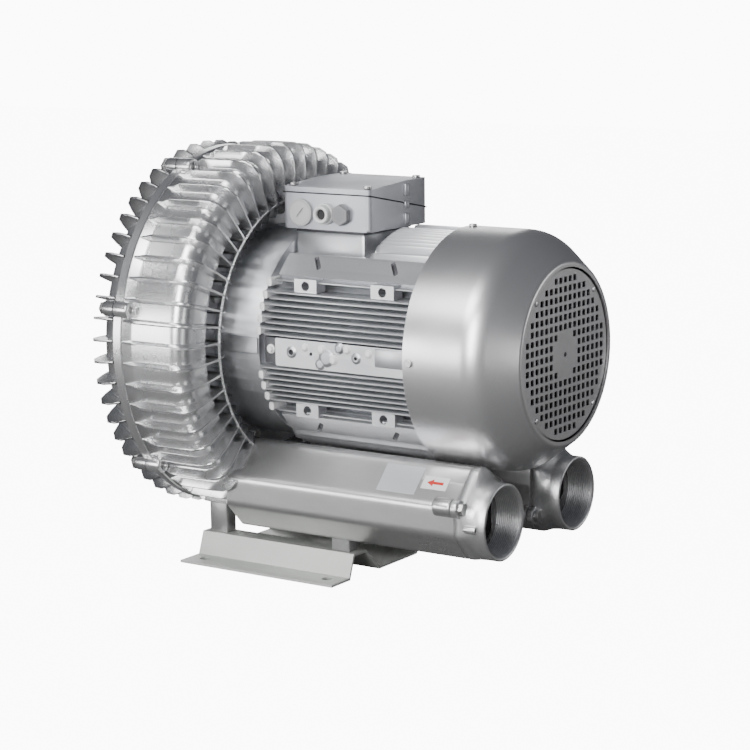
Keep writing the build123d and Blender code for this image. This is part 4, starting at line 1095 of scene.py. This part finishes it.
# %% Finishes of the inner pieces
inner = {
    "inlet_silencer_foam": foam, "outlet_silencer_foam": foam, "shaft_seal": rubber_and_painted_shade,
    "stator_core": core_steel, "stator_winding": copper, "drive_bearing_outer_ring": ground_steel,
    "fan_bearing_outer_ring": ground_steel, "drive_bearing_inner_ring": ground_steel,
    "fan_bearing_inner_ring": ground_steel, "wave_spring": ground_steel, "rotor_shaft": ground_steel,
    "rotor_core": core_steel, "impeller": bare_casting, "impeller_key": ground_steel,
    "impeller_washer": zinc, "impeller_bolt": zinc, "cooling_fan": black_plastic,
    "fan_circlip": ground_steel, "terminal_box_gasket": rubber_and_painted_shade, "terminal_block": brown_plastic,
    "terminal_studs": brass,
}
for node, material in inner.items():
    mesh = frame["nodes"][node].data
    mesh.materials.clear()
    mesh.materials.append(material)
print("inner pieces finished:", len(inner))

# %% [markdown]
# The portrait has a pale floor that runs to the horizon. It glows for the camera alone, so that it
# looks white without throwing light up at the blower. Dark discs under the bolt holes stand for
# the shade in them.


# %% Floor
def sheet_of(name, bm, material):
    """Turn a bmesh into an object that isn't part of the blower."""
    mesh = bpy.data.meshes.new(name)
    bm.to_mesh(mesh)
    bm.free()
    mesh.materials.append(material)
    sheet = bpy.data.objects.new(name, mesh)
    bpy.context.scene.collection.objects.link(sheet)
    return sheet


def glowing_paper():
    """Pale paper with a faint unevenness, bright only where the camera sees it."""
    paper = bpy.data.materials.new("pale_paper")
    paper.use_nodes = True
    tree = paper.node_tree
    shader = tree.nodes["Principled BSDF"]
    fibre = tree.nodes.new("ShaderNodeTexNoise")
    fibre.inputs["Scale"].default_value = 3.0
    tone = tree.nodes.new("ShaderNodeMix")
    tone.data_type = "RGBA"
    link_nodes(tree, fibre.outputs["Fac"], tone.inputs["Factor"])
    tone.inputs["A"].default_value = (0.10, 0.10, 0.10, 1.0)
    tone.inputs["B"].default_value = (0.13, 0.13, 0.13, 1.0)
    link_nodes(tree, tone.outputs["Result"], shader.inputs["Base Color"])
    shader.inputs["Roughness"].default_value = 0.9
    shader.inputs["Emission Color"].default_value = (1.0, 1.0, 1.0, 1.0)
    seen = tree.nodes.new("ShaderNodeLightPath")
    glow = tree.nodes.new("ShaderNodeMapRange")
    glow.inputs["To Min"].default_value = 0.02
    glow.inputs["To Max"].default_value = 10.6
    link_nodes(tree, seen.outputs["Is Camera Ray"], glow.inputs["Value"])
    link_nodes(tree, glow.outputs["Result"], shader.inputs["Emission Strength"])
    return paper


def build_floor():
    """Large pale floor sheet just under the blower."""
    bm = bmesh.new()
    bmesh.ops.create_grid(bm, x_segments=1, y_segments=1, size=6.0)
    bmesh.ops.translate(bm, vec=at(0, 0, -0.3), verts=bm.verts)
    floor = sheet_of("floor", bm, glowing_paper())
    return floor


def hole_shadows():
    """Dark discs on the floor under the four bolt holes, which no light reaches."""
    bm = bmesh.new()
    for x in (-112, 112):
        for y in (-84, 84):
            made = bmesh.ops.create_circle(bm, cap_ends=True, segments=24, radius=8 * MM)["verts"]
            bmesh.ops.translate(bm, vec=at(x, y, -0.1), verts=made)
    discs = sheet_of("hole_shadows", bm, rubber_and_painted_shade)
    return discs


build_floor()
hole_shadows()
print("floor laid")

# %% [markdown]
# The camera looks down a little, from the side of the inlet leg and the ports. Its place was worked
# out from the ring, the cowl and the base plate as the picture shows them. Three directions at
# right angles to each other give its rotation, and the small roll is mixed into two of them.


# %% Camera
def build_camera():
    """Camera at the portrait's angle: slightly above the shaft, from the port and inlet side."""
    azimuth, elevation, roll = radians(-56.21), radians(10.25), radians(-0.63)
    distance = 2641.43 * MM
    focus = at(40.23, -48.09, 202.0)
    back = Vector((sin(azimuth) * cos(elevation), -cos(azimuth) * cos(elevation), sin(elevation)))
    right = Vector((cos(azimuth), sin(azimuth), 0.0))
    up = back.cross(right)
    turned_right = right * cos(roll) + up * sin(roll)
    turned_up = up * cos(roll) - right * sin(roll)
    picture_width, focal_pixels = 750.0, 2318.5
    lens = bpy.data.cameras.new("portrait")
    lens.sensor_width = 36.0
    lens.lens = 36.0 * focal_pixels / picture_width
    camera = bpy.data.objects.new("portrait", lens)
    bpy.context.scene.collection.objects.link(camera)
    rotation = Matrix((turned_right, turned_up, back)).transposed().to_4x4()
    camera.matrix_world = Matrix.Translation(focus + back * distance) @ rotation
    bpy.context.scene.camera = camera
    return camera


build_camera()
print("camera placed")

# %% [markdown]
# Paint with metal in it shows what it mirrors, so each light is placed where one kind of face
# mirrors it: the key for the sides, one low behind for the upright faces, one above for the
# slanted ones, a narrow one for rounded corners, and two weak ones for the fan end and far edges.


# %% Lights
def soft_light(name, place, target, width, height, power):
    """Rectangular area light that looks at a point."""
    lamp = bpy.data.lights.new(name, "AREA")
    lamp.shape = "RECTANGLE"
    lamp.size = width
    lamp.size_y = height
    lamp.energy = power
    holder = bpy.data.objects.new(name, lamp)
    bpy.context.scene.collection.objects.link(holder)
    holder.location = place
    holder.rotation_euler = (Vector(target) - Vector(place)).to_track_quat("-Z", "Y").to_euler()
    return holder


centre = (0.0, -0.05, 0.22)
lamps = {
    "key": ((-2.4, -0.45, 1.0), 0.6, 1.5, 48.0), "back_left": ((-2.2, 1.3, 0.3), 1.2, 0.8, 24.0),
    "upper": ((-1.7, 0.5, 2.0), 1.0, 1.0, 38.0), "front": ((1.6, -2.2, 0.5), 1.0, 1.0, 8.0),
    "corner": ((-1.5, -2.3, 0.1), 0.5, 1.4, 8.0), "rim": ((2.0, 1.6, 1.0), 1.4, 1.0, 11.0),
}
for name, (place, width, height, power) in lamps.items():
    soft_light(name, place, centre, width, height, power)
print("lights:", len(lamps))

# %% [markdown]
# The world gives a weak bluish fill to the blower, while the camera sees it white.


# %% World
def studio_world():
    """White for the camera, a weak bluish light for everything else."""
    world = bpy.data.worlds.new("studio")
    world.use_nodes = True
    sky = world.node_tree
    fill = sky.nodes["Background"]
    fill.inputs["Color"].default_value = (0.80, 0.84, 0.92, 1.0)
    fill.inputs["Strength"].default_value = 0.12
    backdrop = sky.nodes.new("ShaderNodeBackground")
    backdrop.inputs["Color"].default_value = (1.0, 1.0, 1.0, 1.0)
    backdrop.inputs["Strength"].default_value = 11.0
    seen = sky.nodes.new("ShaderNodeLightPath")
    both = sky.nodes.new("ShaderNodeMixShader")
    link_nodes(sky, seen.outputs["Is Camera Ray"], both.inputs["Fac"])
    link_nodes(sky, fill.outputs["Background"], both.inputs[1])
    link_nodes(sky, backdrop.outputs["Background"], both.inputs[2])
    link_nodes(sky, both.outputs["Shader"], sky.nodes["World Output"].inputs["Surface"])
    bpy.context.scene.world = world
    return world


studio_world()
print("world set")

# %% [markdown]

# %% Finish
print("finished")
